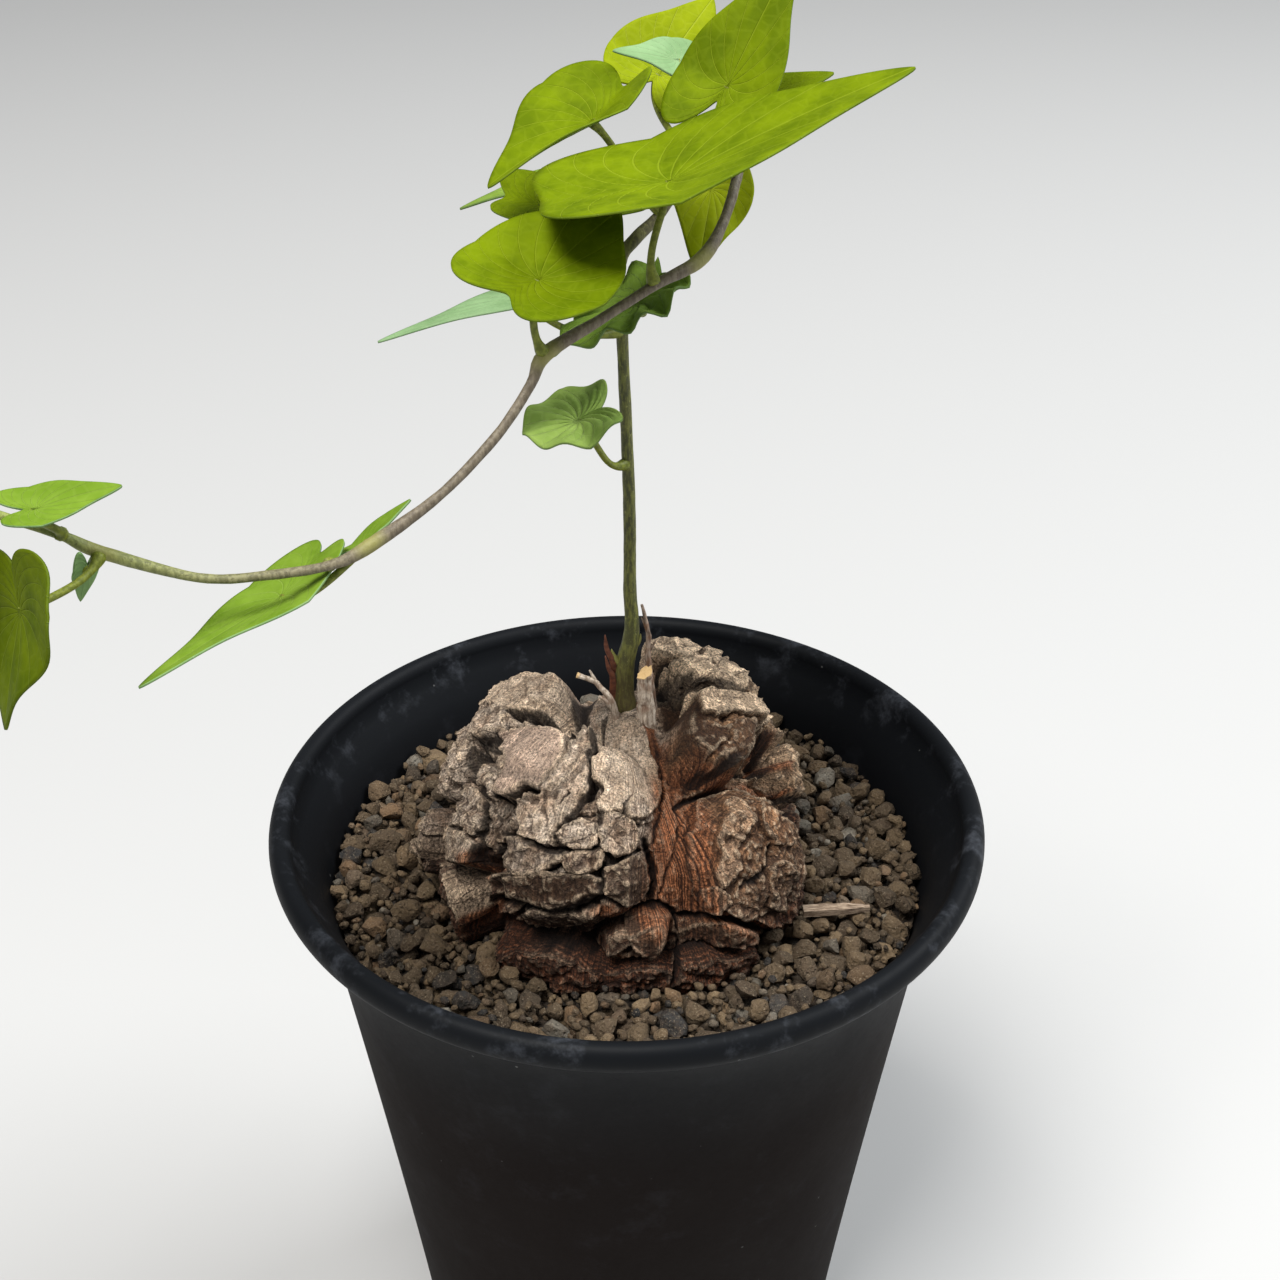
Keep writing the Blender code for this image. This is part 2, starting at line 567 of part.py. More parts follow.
def make_leaf(collection, rows, name, foot, base, tip, upward, shape):
    base, tip, upward = Vector(base), Vector(tip), Vector(upward)
    ahead = (tip - base).normalized()
    side = upward.cross(ahead).normalized()
    frame = Matrix((ahead, side, ahead.cross(side))).transposed()
    length = (tip - base).length
    turns = blade_turns()

    bm = bmesh.new()
    ring = bmesh.ops.create_circle(bm, cap_ends=True, segments=len(turns), radius=1.0)["verts"]
    for vert, turn in zip(ring, turns):
        vert.co = (math.cos(turn), math.sin(turn), 0.0)
    edges = list(bm.edges)
    parts = {vert: 0.0 for vert in bm.verts}
    for part in LEAF_RINGS:
        grown = bmesh.ops.extrude_edge_only(bm, edges=edges)["geom"]
        edges = [item for item in grown if isinstance(item, bmesh.types.BMEdge)
                 and item.is_boundary]
        for vert in {vert for edge in edges for vert in edge.verts}:
            parts[vert] = part
    for vert in bm.verts:
        turn = math.atan2(vert.co.y, vert.co.x)
        vert.co = blade_point(turn, parts[vert], length, *shape)
    bmesh.ops.recalc_face_normals(bm, faces=bm.faces)
    cap = next(face for face in bm.faces if len(face.verts) == len(turns))
    if cap.normal.z < 0:
        bmesh.ops.reverse_faces(bm, faces=bm.faces)
    quads = [face for face in bm.faces if face != cap]
    bmesh.ops.triangulate(bm, faces=quads, quad_method="FIXED")
    add_underside(bm, cap)
    for vert in bm.verts:
        vert.co = base + frame @ vert.co
    bm.normal_update()
    under = min((face for face in bm.faces if len(face.verts) == len(turns)),
                key=lambda face: face.normal.dot(frame.col[2]))
    path = petiole_path(base, frame.to_4x4(), *nearest_on_stem(rows, foot))
    grow_petiole(bm, under, path)
    bmesh.ops.triangulate(bm, faces=bm.faces)
    bmesh.ops.recalc_face_normals(bm, faces=bm.faces)
    bmesh.ops.scale(bm, verts=bm.verts, vec=(MM, MM, MM))
    return add_object(name, mesh_from(bm, name, 60), collection, "leaf")


def add_underside(bm, cap):
    """A second skin a blade's thickness below the first, joined to it at the edge."""
    top = list(bm.faces)
    border = [edge for edge in bm.edges if edge.is_boundary]
    copy = bmesh.ops.duplicate(bm, geom=top + list(bm.edges) + list(bm.verts))
    under = [item for item in copy["geom"] if isinstance(item, bmesh.types.BMFace)]
    for vert in {vert for face in under for vert in face.verts}:
        vert.co.z -= BLADE
    bmesh.ops.reverse_faces(bm, faces=under)
    lower = [copy["edge_map"][edge] for edge in border]
    bmesh.ops.bridge_loops(bm, edges=border + lower)


def grow_petiole(bm, cap, path):
    """Draw the cap out along the path, turned to face along it at every point."""
    facing = cap.normal.copy()
    for before, place, after in zip(path, path[1:], path[2:] + path[-1:]):
        ahead = ((place - before).normalized() + (after - place).normalized()).normalized()
        cap = bmesh.ops.extrude_discrete_faces(bm, faces=[cap])["faces"][0]
        turn = facing.rotation_difference(ahead).to_matrix()
        for vert in cap.verts:
            vert.co = place + turn @ (vert.co - before)
        facing = ahead


def make_chip(collection):
    bm = bmesh.new()
    bmesh.ops.create_cube(bm, size=1.0)
    bmesh.ops.scale(bm, verts=bm.verts, vec=CHIP_SIZE)
    bmesh.ops.bevel(bm, geom=bm.edges[:], offset=CHIP_BEVEL, affect="EDGES", segments=1, profile=0.5)
    turn = Matrix.Rotation(math.radians(CHIP_TURN), 4, "Z")
    bmesh.ops.transform(bm, matrix=Matrix.Translation(Vector(CHIP_PLACE)) @ turn, verts=bm.verts)
    bmesh.ops.scale(bm, verts=bm.verts, vec=(MM, MM, MM))
    return add_object("bark_chip", mesh_from(bm, "bark_chip"), collection, "bark")


def main():
    clear_scene()
    plant = new_collection("potted_elephants_foot_plant")
    cutters = new_collection("cutters", hidden=True)
    make_pot(plant, cutters)
    caudex = make_caudex(plant)
    make_soil(plant, cutters, caudex)
    rows = catmull_rom(STEM_POINTS, STEM_STEP)
    tube("stem", rows, plant, "stem")
    for name, leaf in LEAVES.items():
        make_leaf(plant, rows, name, *leaf)
    for name, points in TWIGS.items():
        kind = name if name in FINISHES else name.split("_")[0]
        tube(name, catmull_rom(points, TWIG_STEP), plant, kind, resolution=1)
    make_chip(plant)


main()
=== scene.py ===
# %% [markdown]
# # Potted elephant's foot plant
#
# An elephant's foot is a yam that keeps its water in a woody tuber, the caudex, whose bark
# splits into plates of cork. Each spring one thin vine climbs out of its top. This lesson dresses
# the plain solids of the plant: a finely turned pot, loose gravel, the cracked caudex, the vine,
# its dead wood and its leaves. Sizes are in millimetres, and MM turns them into Blender's metres.

# %% Load the solids
import math
import random

import bmesh
import bpy
import numpy as np
from mathutils import Euler, Matrix, Vector, noise
from mathutils.bvhtree import BVHTree


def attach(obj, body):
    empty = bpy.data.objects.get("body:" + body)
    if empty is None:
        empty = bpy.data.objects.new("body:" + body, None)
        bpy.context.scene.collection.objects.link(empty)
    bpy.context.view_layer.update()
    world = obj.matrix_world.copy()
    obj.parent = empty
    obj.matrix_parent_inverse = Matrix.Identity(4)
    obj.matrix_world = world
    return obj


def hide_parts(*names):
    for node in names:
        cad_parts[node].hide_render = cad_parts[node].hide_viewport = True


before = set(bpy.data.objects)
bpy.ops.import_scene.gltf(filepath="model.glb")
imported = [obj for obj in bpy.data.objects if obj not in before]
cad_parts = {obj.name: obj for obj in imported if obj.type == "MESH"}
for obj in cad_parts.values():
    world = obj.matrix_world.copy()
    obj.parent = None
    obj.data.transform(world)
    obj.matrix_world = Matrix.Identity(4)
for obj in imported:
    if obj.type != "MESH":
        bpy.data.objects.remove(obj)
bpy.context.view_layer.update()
MM = 0.001
ROOT = "root"

# %% [markdown]
# ## Camera
#
# The camera comes first, because some of the bark's plates are placed by where they lie in the
# photo. It looks down at the plant from the front. A ray through a pixel then meets the caudex at
# the place that this pixel shows.

# %% Camera
FRAME_PIXELS = 1280
FOCAL_PIXELS = 1800
CAMERA_TILT = math.radians(32.2)
CAMERA_PLACE = Vector((2.2, -243.6, 313.2))
SENSOR = 36.0


def add_object(name, data):
    """Put a new object of a mesh, a light or a camera into the scene."""
    thing = bpy.data.objects.new(name, data)
    bpy.context.scene.collection.objects.link(thing)
    return thing


def make_camera():
    """The photo's camera. Its lens gives the frame the photo's field of view."""
    data = bpy.data.cameras.new("camera")
    data.sensor_width = SENSOR
    data.lens = SENSOR * FOCAL_PIXELS / FRAME_PIXELS
    camera = add_object("camera", data)
    camera.location = CAMERA_PLACE * MM
    camera.rotation_euler = (math.pi / 2 - CAMERA_TILT, 0.0, 0.0)
    bpy.context.scene.camera = camera
    return camera


def photo_ray(pixel):
    """Direction from the camera through a pixel of the photo."""
    across, down = ((value - FRAME_PIXELS / 2) / FOCAL_PIXELS for value in pixel)
    ahead = Vector((0.0, math.cos(CAMERA_TILT), -math.sin(CAMERA_TILT)))
    up = Vector((0.0, math.sin(CAMERA_TILT), math.cos(CAMERA_TILT)))
    return (ahead + Vector((across, 0.0, 0.0)) - up * down).normalized()


print("camera lens in mm:", make_camera().data.lens)

# %% [markdown]
# ## Materials as arithmetic
#
# A material is a graph of nodes, and most of it is plain arithmetic. Wiring that by hand hides
# what it means, so a small class wraps an output socket and turns Python's operators into Math
# nodes. A second class holds one material, and its node method adds every other kind of node.


# %% Material helpers
class Wire:
    """One output socket. Arithmetic on it adds Math nodes to its material."""

    def __init__(self, paint, socket):
        self.paint = paint
        self.socket = socket

    def math(self, operation, first, second=0.0):
        """Add one Math node and return its output."""
        return self.paint.node("ShaderNodeMath", {"operation": operation}, {0: first, 1: second})

    def __add__(self, other):
        return self.math("ADD", self, other)

    __radd__ = __add__

    def __sub__(self, other):
        return self.math("SUBTRACT", self, other)

    def __rsub__(self, other):
        return self.math("SUBTRACT", other, self)

    def __mul__(self, other):
        return self.math("MULTIPLY", self, other)

    __rmul__ = __mul__

    def __rtruediv__(self, other):
        return self.math("DIVIDE", other, self)

    def step(self, low, high):
        """A soft step from 0 at low to 1 at high."""
        return self.paint.node("ShaderNodeMapRange", {"interpolation_type": "SMOOTHSTEP"},
                               {"Value": self, "From Min": low, "From Max": high})


class Paint:
    """One material, built up node by node."""

    def __init__(self, name):
        self.material = bpy.data.materials.new(name)
        self.material.use_nodes = True
        self.tree = self.material.node_tree
        self.tree.nodes.clear()

    def node(self, kind, settings=None, inputs=None, output=0):
        """Add a node: its settings first, then the values or links of its sockets."""
        node = self.tree.nodes.new(kind)
        for key, value in (settings or {}).items():
            if key == "stops":
                self.set_stops(node.color_ramp, value)
            else:
                setattr(node, key, value)
        for key, value in (inputs or {}).items():
            if isinstance(value, Wire):
                self.tree.links.new(value.socket, node.inputs[key])
            else:
                node.inputs[key].default_value = value
        return Wire(self, node.outputs[output]) if node.outputs else node

    @staticmethod
    def set_stops(ramp, stops):
        """Give a colour ramp its stops, each a place from 0 to 1 and a colour."""
        while len(ramp.elements) < len(stops):
            ramp.elements.new(1.0)
        for element, (place, colour) in zip(ramp.elements, stops):
            element.position = place
            element.color = (*colour, 1.0)

    def place(self):
        """The place on the piece, in metres."""
        return self.node("ShaderNodeTexCoord", output="Object")

    def stretched(self, scale, turn=0.0):
        """The place with its axes scaled. A small scale draws a pattern out along that axis."""
        return self.node("ShaderNodeMapping", None,
                         {"Vector": self.place(), "Scale": scale, "Rotation": (0.0, 0.0, turn)})

    def own(self, name):
        """A value that is stored on the piece's own vertices."""
        return self.node("ShaderNodeAttribute", {"attribute_name": name}, output="Fac")

    def grain(self, size, detail=3.0, roughness=0.55, vector=None):
        """Noise between 0 and 1 with features of a size in mm."""
        return self.node("ShaderNodeTexNoise", None,
                         {"Vector": vector or self.place(), "Scale": 1.0 / (size * MM),
                          "Detail": detail, "Roughness": roughness})

    def cells(self, scale, vector=None, feature="F1"):
        """Distance from the middles of Voronoi cells, or from their borders."""
        return self.node("ShaderNodeTexVoronoi", {"feature": feature},
                         {"Vector": vector or self.place(), "Scale": scale}, output="Distance")

    def mix(self, factor, first, second, how="MIX"):
        """Mix two colours, each a wire or three numbers."""
        ends = [end if isinstance(end, Wire) else (*end, 1.0) for end in (first, second)]
        return self.node("ShaderNodeMix", {"data_type": "RGBA", "blend_type": how},
                         {0: factor, 6: ends[0], 7: ends[1]}, output=2)

    def bump(self, height, distance, strength=1.0, under=None):
        """A normal that follows a height, in mm at its highest."""
        inputs = {"Height": height, "Distance": distance * MM, "Strength": strength}
        if under:
            inputs["Normal"] = under
        return self.node("ShaderNodeBump", None, inputs)

    def surface(self, colour, roughness, normal=None, **constants):
        """Finish the material with its shader. The constants are named like the shader's sockets."""
        inputs = {"Base Color": colour if isinstance(colour, Wire) else (*colour, 1.0),
                  "Roughness": roughness}
        if normal:
            inputs["Normal"] = normal
        for name, value in constants.items():
            inputs[name.replace("_", " ")] = value
        shader = self.node("ShaderNodeBsdfPrincipled", None, inputs)
        self.node("ShaderNodeOutputMaterial", None, {"Surface": shader})
        return self.material


def grained(name, grain, colours, roughness, depth, edges=(0.35, 0.65), stretch=(1.0, 1.0, 1.0)):
    """A simple material. One noise, given by its size, detail and roughness, colours and dents it."""
    paint = Paint(name)
    pattern = paint.grain(*grain, paint.stretched(stretch))
    colour = paint.mix(pattern.step(*edges), *colours)
    return paint.surface(colour, roughness, paint.bump(pattern, depth))


print("material helpers:", [name for name in vars(Paint) if not name.startswith("_")])

# %% [markdown]
# ## Mesh helpers
#
# Every new piece is a bmesh that becomes an object at the origin, rides on the plant's one body
# and names the solids that it stands for. Values worked out along the way, such as how deep a
# crack is, are stored on the vertices, where a material can read them.


# %% Mesh helpers
MERGE = 0.01
LEAST_FACING = 0.001
NOISE_SHIFT = (7.3, 3.1, 5.7)


def smooth_step(edge, width, value):
    """A soft step from 0 at an edge to 1 at its width further on."""
    t = np.clip((value - edge) / width, 0.0, 1.0)
    return t * t * (3.0 - 2.0 * t)


def heading(azimuth, elevation):
    """Unit vector for an azimuth from +X and an elevation, in degrees."""
    az, el = math.radians(azimuth), math.radians(elevation)
    return np.array((math.cos(el) * math.cos(az), math.cos(el) * math.sin(az), math.sin(el)))


def directions_of(bm):
    """The direction of each vert from the origin."""
    return np.array([vert.co.normalized() for vert in bm.verts])


def angles_from(directions, azimuth, elevation):
    """How many degrees directions lie beside and above a middle one."""
    middle = heading(azimuth, elevation)
    across = heading(azimuth + 90, 0)
    facing = np.maximum(directions @ middle, LEAST_FACING)
    beside = np.degrees(np.arctan2(directions @ across, facing))
    above = np.degrees(np.arctan2(directions @ np.cross(middle, across), facing))
    return beside, above


def noise_values(points, scale, seed):
    """Smooth noise from about -1 to 1 at each point."""
    shift = Vector([seed * step for step in NOISE_SHIFT])
    return np.array([noise.noise(Vector(point) * scale + shift) for point in points])


def roughen(verts, waves):
    """Move verts along their normals by noise. Each wave is its size and its depth in mm."""
    for vert in verts:
        shift = sum(depth * noise.noise(vert.co / (size * MM)) for size, depth in waves)
        vert.co += vert.normal * shift * MM


def mesh_of(bm, name):
    """Turn a bmesh into mesh data, which frees the bmesh."""
    mesh = bpy.data.meshes.new(name)
    bm.to_mesh(mesh)
    bm.free()
    return mesh


def store(mesh, name, values):
    """Keep one number for each vertex under a name that a material can read."""
    attribute = mesh.attributes.new(name, "FLOAT", "POINT")
    attribute.data.foreach_set("value", np.asarray(values, dtype=np.float32))


def add_piece(name, bm, material, stands_for=(), sharp=None):
    """Turn a bmesh in metres into a piece of the plant."""
    mesh = mesh_of(bm, name)
    mesh.shade_smooth()
    if sharp:
        mesh.set_sharp_from_angle(angle=math.radians(sharp))
    mesh.materials.append(material)
    piece = add_object(name, mesh)
    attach(piece, ROOT)
    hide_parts(*stands_for)
    print(f"{name}: {sum(len(face.vertices) - 2 for face in mesh.polygons)} triangles")
    return piece


def spun(outline, steps):
    """A bmesh of an outline, given as radii and heights in mm, turned once round the Z axis."""
    bm = bmesh.new()
    verts = [bm.verts.new((radius * MM, 0.0, z * MM)) for radius, z in outline]
    edges = [bm.edges.new(pair) for pair in zip(verts, verts[1:])]
    bmesh.ops.spin(bm, geom=verts + edges, axis=(0, 0, 1), cent=(0, 0, 0), angle=math.tau,
                   steps=steps, use_merge=True)
    bmesh.ops.remove_doubles(bm, verts=bm.verts, dist=MERGE * MM)
    bmesh.ops.recalc_face_normals(bm, faces=bm.faces)
    return bm


def catmull_rom(points, step):
    """Points about a step apart on a smooth curve through rows of x, y, z and radius."""
    rows = [np.array((*place, radius)) for place, radius in points]
    rows = [2 * rows[0] - rows[1]] + rows + [2 * rows[-1] - rows[-2]]
    smooth = []
    for before, start, end, after in zip(rows, rows[1:], rows[2:], rows[3:]):
        count = max(1, round(np.linalg.norm((end - start)[:3]) / step))
        for index in range(count):
            t = index / count
            smooth.append(0.5 * (2 * start + (end - before) * t
                                 + (2 * before - 5 * start + 4 * end - after) * t * t
                                 + (3 * start - before - 3 * end + after) * t * t * t))
    smooth.append(rows[-2])
    return smooth


print("a curve's steps:", len(catmull_rom([((0, 0, 0), 1), ((0, 0, 8), 1)], 2.0)) - 1)

# %% [markdown]
# ## The pot
#
# The pot is a moulded plastic shell: a wall that flares softly into a rolled rim. On a lathe or
# in a mould such a shape is one outline turned round an axis, so here the outline is drawn as a
# chain of edges and spun once round. The rim and the foot are arcs, so that they stay round. The
# drainage holes are cut through the floor afterwards.

# %% The pot's outline
POT_RADIUS = 60.0
RIM_CENTRE_Z = 126.1
RIM_HALF_WIDTH = 1.9
RIM_HALF_HEIGHT = 2.5
WALL = 2.0
FLOOR = 2.4
FOOT_RADIUS = 38.6
FOOT_ROUND = 1.2
WALL_RADIUS_AT_SOIL = 52.4
WALL_POWER = 1.13
FLARE = 6.0
FLARE_FADE = 4.5
SOIL_Z = 116.4
WALL_TOP = 123.6
WALL_POINTS = 40
POT_TURNS = 192
RIM_ARC = range(0, 241, 12)
FOOT_ARC = range(0, 91, 15)
DRAIN_COUNT = 6
DRAIN_SIDES = 32
DRAIN_RADIUS = 4.0
DRAIN_RING = 24.0


def wall_radius(z):
    """Outer radius of the pot's wall at a height."""
    rise = max(z, 0.0) / SOIL_Z
    flare = FLARE * math.exp(-(RIM_CENTRE_Z - z) / FLARE_FADE)
    return FOOT_RADIUS + (WALL_RADIUS_AT_SOIL - FOOT_RADIUS) * rise ** WALL_POWER + flare


def pot_outline():
    """Radius and height from the middle of the floor, over the rim, to the underside."""
    heights = np.linspace(FLOOR, WALL_TOP, WALL_POINTS)
    inner = [(wall_radius(z) - WALL, z) for z in heights]
    rim = [(POT_RADIUS - RIM_HALF_WIDTH - RIM_HALF_WIDTH * math.cos(math.radians(turn)),
            RIM_CENTRE_Z + RIM_HALF_HEIGHT * math.sin(math.radians(turn)))
           for turn in RIM_ARC]
    outer = [(wall_radius(z), z) for z in np.linspace(WALL_TOP - 1.0, 2 * FOOT_ROUND, WALL_POINTS)]
    foot = [(wall_radius(FOOT_ROUND) - FOOT_ROUND * (1 - math.cos(math.radians(turn))),
             FOOT_ROUND * (1 - math.sin(math.radians(turn)))) for turn in FOOT_ARC]
    return [(0.0, FLOOR)] + inner + rim + outer + foot + [(0.0, 0.0)]


print("pot outline points:", len(pot_outline()))

# %% [markdown]
# The plastic is matt black. A painted reflection gives it a slight cast of blue on top and of brown
# below. The rim gets pale dust with a painted sheen. Fine scratches and pale specks of dust show on
# the rim, so the roughness gets thin lines of stretched noise and the colour small dots.


# %% Black plastic
# Painted reflections: blue black where the sky would shine on the top, brown black where a table would
# shine below
SKY_REFLECTION_BLACK = (0.0052, 0.0060, 0.0074)
TABLE_REFLECTION_BLACK = (0.0058, 0.0034, 0.0027)
# Pale blue grey: real dust, and on the rim a painted sheen
DUST_AND_SHEEN = (0.070, 0.076, 0.090)
SPECKS = (0.22, 0.22, 0.21)
SPECK_SCALE = 330.0
# Heights in metres over which the painted brown reflection fades out and the rim's dust and painted sheen
# come in
BROWN_REFLECTION_FADE = (0.085, 0.124)
RIM_DUST_AND_SHEEN = (0.119, 0.127)
SCRATCH_STRETCH = (1.0, 0.16, 1.0)
SCRATCH_TURN = 0.6


def black_plastic():
    """Nearly black, blue above and brown below as a painted reflection, with dust, painted sheen and
    specks on the rim and faint scratches everywhere.
    """
    paint = Paint("black_plastic")
    height = paint.node("ShaderNodeSeparateXYZ", None, {"Vector": paint.place()}, output="Z")
    # The lower wall gets the painted brown reflection and the top the painted blue one; low also roughens
    # the lower wall
    low = 1.0 - height.step(*BROWN_REFLECTION_FADE)
    colour = paint.mix(low, SKY_REFLECTION_BLACK, TABLE_REFLECTION_BLACK)
    # A little dust everywhere, and more on the rim, where it is dust and painted sheen
    dust_and_sheen = paint.grain(9.0, 5.0, 0.7).step(0.52, 0.75)
    colour = paint.mix(dust_and_sheen * (0.08 + 0.5 * height.step(*RIM_DUST_AND_SHEEN)), colour, DUST_AND_SHEEN)
    near = 1.0 - paint.cells(SPECK_SCALE).step(0.045, 0.10)
    rare = paint.grain(4.0, 2.0).step(0.60, 0.66)
    colour = paint.mix(near * rare * 0.6, colour, SPECKS)
    scratch = paint.grain(1.1, 4.0, 0.7, paint.stretched(SCRATCH_STRETCH, SCRATCH_TURN))
    roughness = 0.40 + 0.16 * paint.grain(14.0, 3.0) + 0.12 * scratch + 0.25 * low
    normal = paint.bump(paint.grain(0.35, 2.0), 0.02, 0.5)
    normal = paint.bump(paint.grain(12.0, 2.0), 0.10, 0.35, normal)
    return paint.surface(colour, roughness, normal, Specular_IOR_Level=0.085)


def make_pot():
    """The shell, with its drainage holes."""
    bm = spun(pot_outline(), POT_TURNS)
    pot = add_piece("fine_pot", bm, black_plastic(), ["pot"], sharp=40)
    drill_drains(pot)
    return pot


def drill_drains(pot):
    """Cut the drainage holes with a Boolean and keep only its result."""
    bm = bmesh.new()
    for index in range(DRAIN_COUNT):
        turn = math.tau * (index + 0.5) / DRAIN_COUNT
        place = Vector((DRAIN_RING * math.cos(turn), DRAIN_RING * math.sin(turn), FLOOR / 2)) * MM
        bmesh.ops.create_cone(bm, cap_ends=True, segments=DRAIN_SIDES, radius1=DRAIN_RADIUS * MM,
                              radius2=DRAIN_RADIUS * MM, depth=3 * FLOOR * MM,
                              matrix=Matrix.Translation(place))
    drills = add_object("drills", mesh_of(bm, "drills"))
    cut = pot.modifiers.new("drains", "BOOLEAN")
    cut.operation = "DIFFERENCE"
    cut.object = drills
    cut.solver = "EXACT"
    cut_pot = pot.evaluated_get(bpy.context.evaluated_depsgraph_get())
    pot.data = bpy.data.meshes.new_from_object(cut_pot)
    pot.modifiers.clear()
    bpy.data.objects.remove(drills, do_unlink=True)


fine_pot = make_pot()
print("pot height in mm:", round(max(vert.co.z for vert in fine_pot.data.vertices) / MM, 1))

# %% [markdown]
# ## The caudex: its lobes
#
# The tuber is one solid. Under its cork it is a plain squat body, and the cork stands out of it in
# lobes. A point's direction from the middle of the tuber is enough to place it, so the shape is
# a formula on directions: how far the body reaches, what the highest lobe adds to that, and what
# the dent behind the crown takes away.

# %% Lobes of the caudex
HEART = Vector((0.0, -3.0, 120.4))
BODY_HALF_WIDTH = 25.0
BODY_UP = 21.0
BODY_DOWN = 15.0
BODY_POWER = 2.4
CROWN = Vector((-0.3, 2.0, 145.8))
CROWN_RADIUS = 4.2
CROWN_FADE = 5.5
LOBE_POWER = 2.8
LOBE_EDGE = 0.42
LOBE_ROUND = 0.12
LOBE_WANDER = 0.10
WANDER_SCALE = 2.6
WANDER_SEEDS = (1, 2, 3)
SKIN_FADE_FROM = -0.55
SKIN_FADE_WIDTH = 0.35
# Each lobe: azimuth, elevation, half width, half height, turn (degrees), height
LOBES = (
    (-111, 42, 22, 31, 8, 6.5),
    (-142, 57, 15, 14, 30, 8.5),
    (168, 53, 17, 16, -12, 10.5),
    (174, 29, 13, 14, 0, 9.5),
    (-155, 29, 11, 19, 10, 7.5),
    (-173, 6, 11, 9, 0, 10.5),
    (-152, -1, 11, 10, 0, 8.0),
    (48, 56, 17, 14, 0, 12.5),
    (24, 42, 11, 11, 20, 8.5),
    (-4, 59, 18, 13, 0, 11.0),
    (11, 22, 11, 9, 0, 7.0),
    (-43, 20, 22, 24, 0, 6.0),
    (-86, 7, 8, 7, 0, 5.0),
    (-86, -9, 13, 8, 0, 6.5),
    (-110, -7, 22, 9, 0, 7.0),
    (-60, -9, 18, 9, 0, 7.0),
    (-17, -6, 16, 10, 0, 6.0),
    (100, 12, 19, 14, 10, 6.0),
    (130, 8, 18, 15, 0, 7.0),
    (82, -2, 19, 11, 0, 6.5),
    (48, 16, 17, 16, 0, 7.0),
    (155, -6, 12, 10, 0, 6.0),
    (18, -6, 14, 9, 0, 6.0),
    (115, -10, 14, 8, 0, 5.5),
    (52, -9, 14, 8, 0, 5.5),
)
# The dent behind the crown, given like a lobe with its depth last
DENTS = ((104, 41, 17, 16, 0, 7.5),)


def highest(swellings, directions):
    """The height of the swelling that stands highest in each direction."""
    height = np.zeros(len(directions))
    for azimuth, elevation, half_width, half_height, turn, rise in swellings:
        a, b = angles_from(directions, azimuth, elevation)
        roll = math.radians(turn)
        a, b = a * math.cos(roll) + b * math.sin(roll), b * math.cos(roll) - a * math.sin(roll)
        ratio = np.abs(a / half_width) ** LOBE_POWER + np.abs(b / half_height) ** LOBE_POWER
        distance = ratio ** (1.0 / LOBE_POWER)
        lobe = rise * (1.0 - smooth_step(1.0 - LOBE_EDGE / 2, LOBE_EDGE, distance))
        lobe *= 1.0 - LOBE_ROUND * np.minimum(distance, 1.0) ** 2
        height = np.maximum(height, lobe)
    return height


def lobe_relief(directions):
    """Height of the lobes over the body, with their outlines made to wander by noise."""
    warp = np.stack([noise_values(directions, WANDER_SCALE, seed) for seed in WANDER_SEEDS], axis=1)
    warped = directions + LOBE_WANDER * warp
    warped /= np.linalg.norm(warped, axis=1, keepdims=True)
    return highest(LOBES, warped) - highest(DENTS, warped)


def body_radius(directions):
    """How far the plain body reaches: an ellipsoid with squarer shoulders."""
    up = np.where(directions[:, 2] > 0, BODY_UP, BODY_DOWN)
    ratio = (np.abs(directions[:, 0] / BODY_HALF_WIDTH) ** BODY_POWER
             + np.abs(directions[:, 1] / BODY_HALF_WIDTH) ** BODY_POWER
             + np.abs(directions[:, 2] / up) ** BODY_POWER)
    return ratio ** (-1.0 / BODY_POWER)


print("lobes:", len(LOBES), "dents:", len(DENTS))
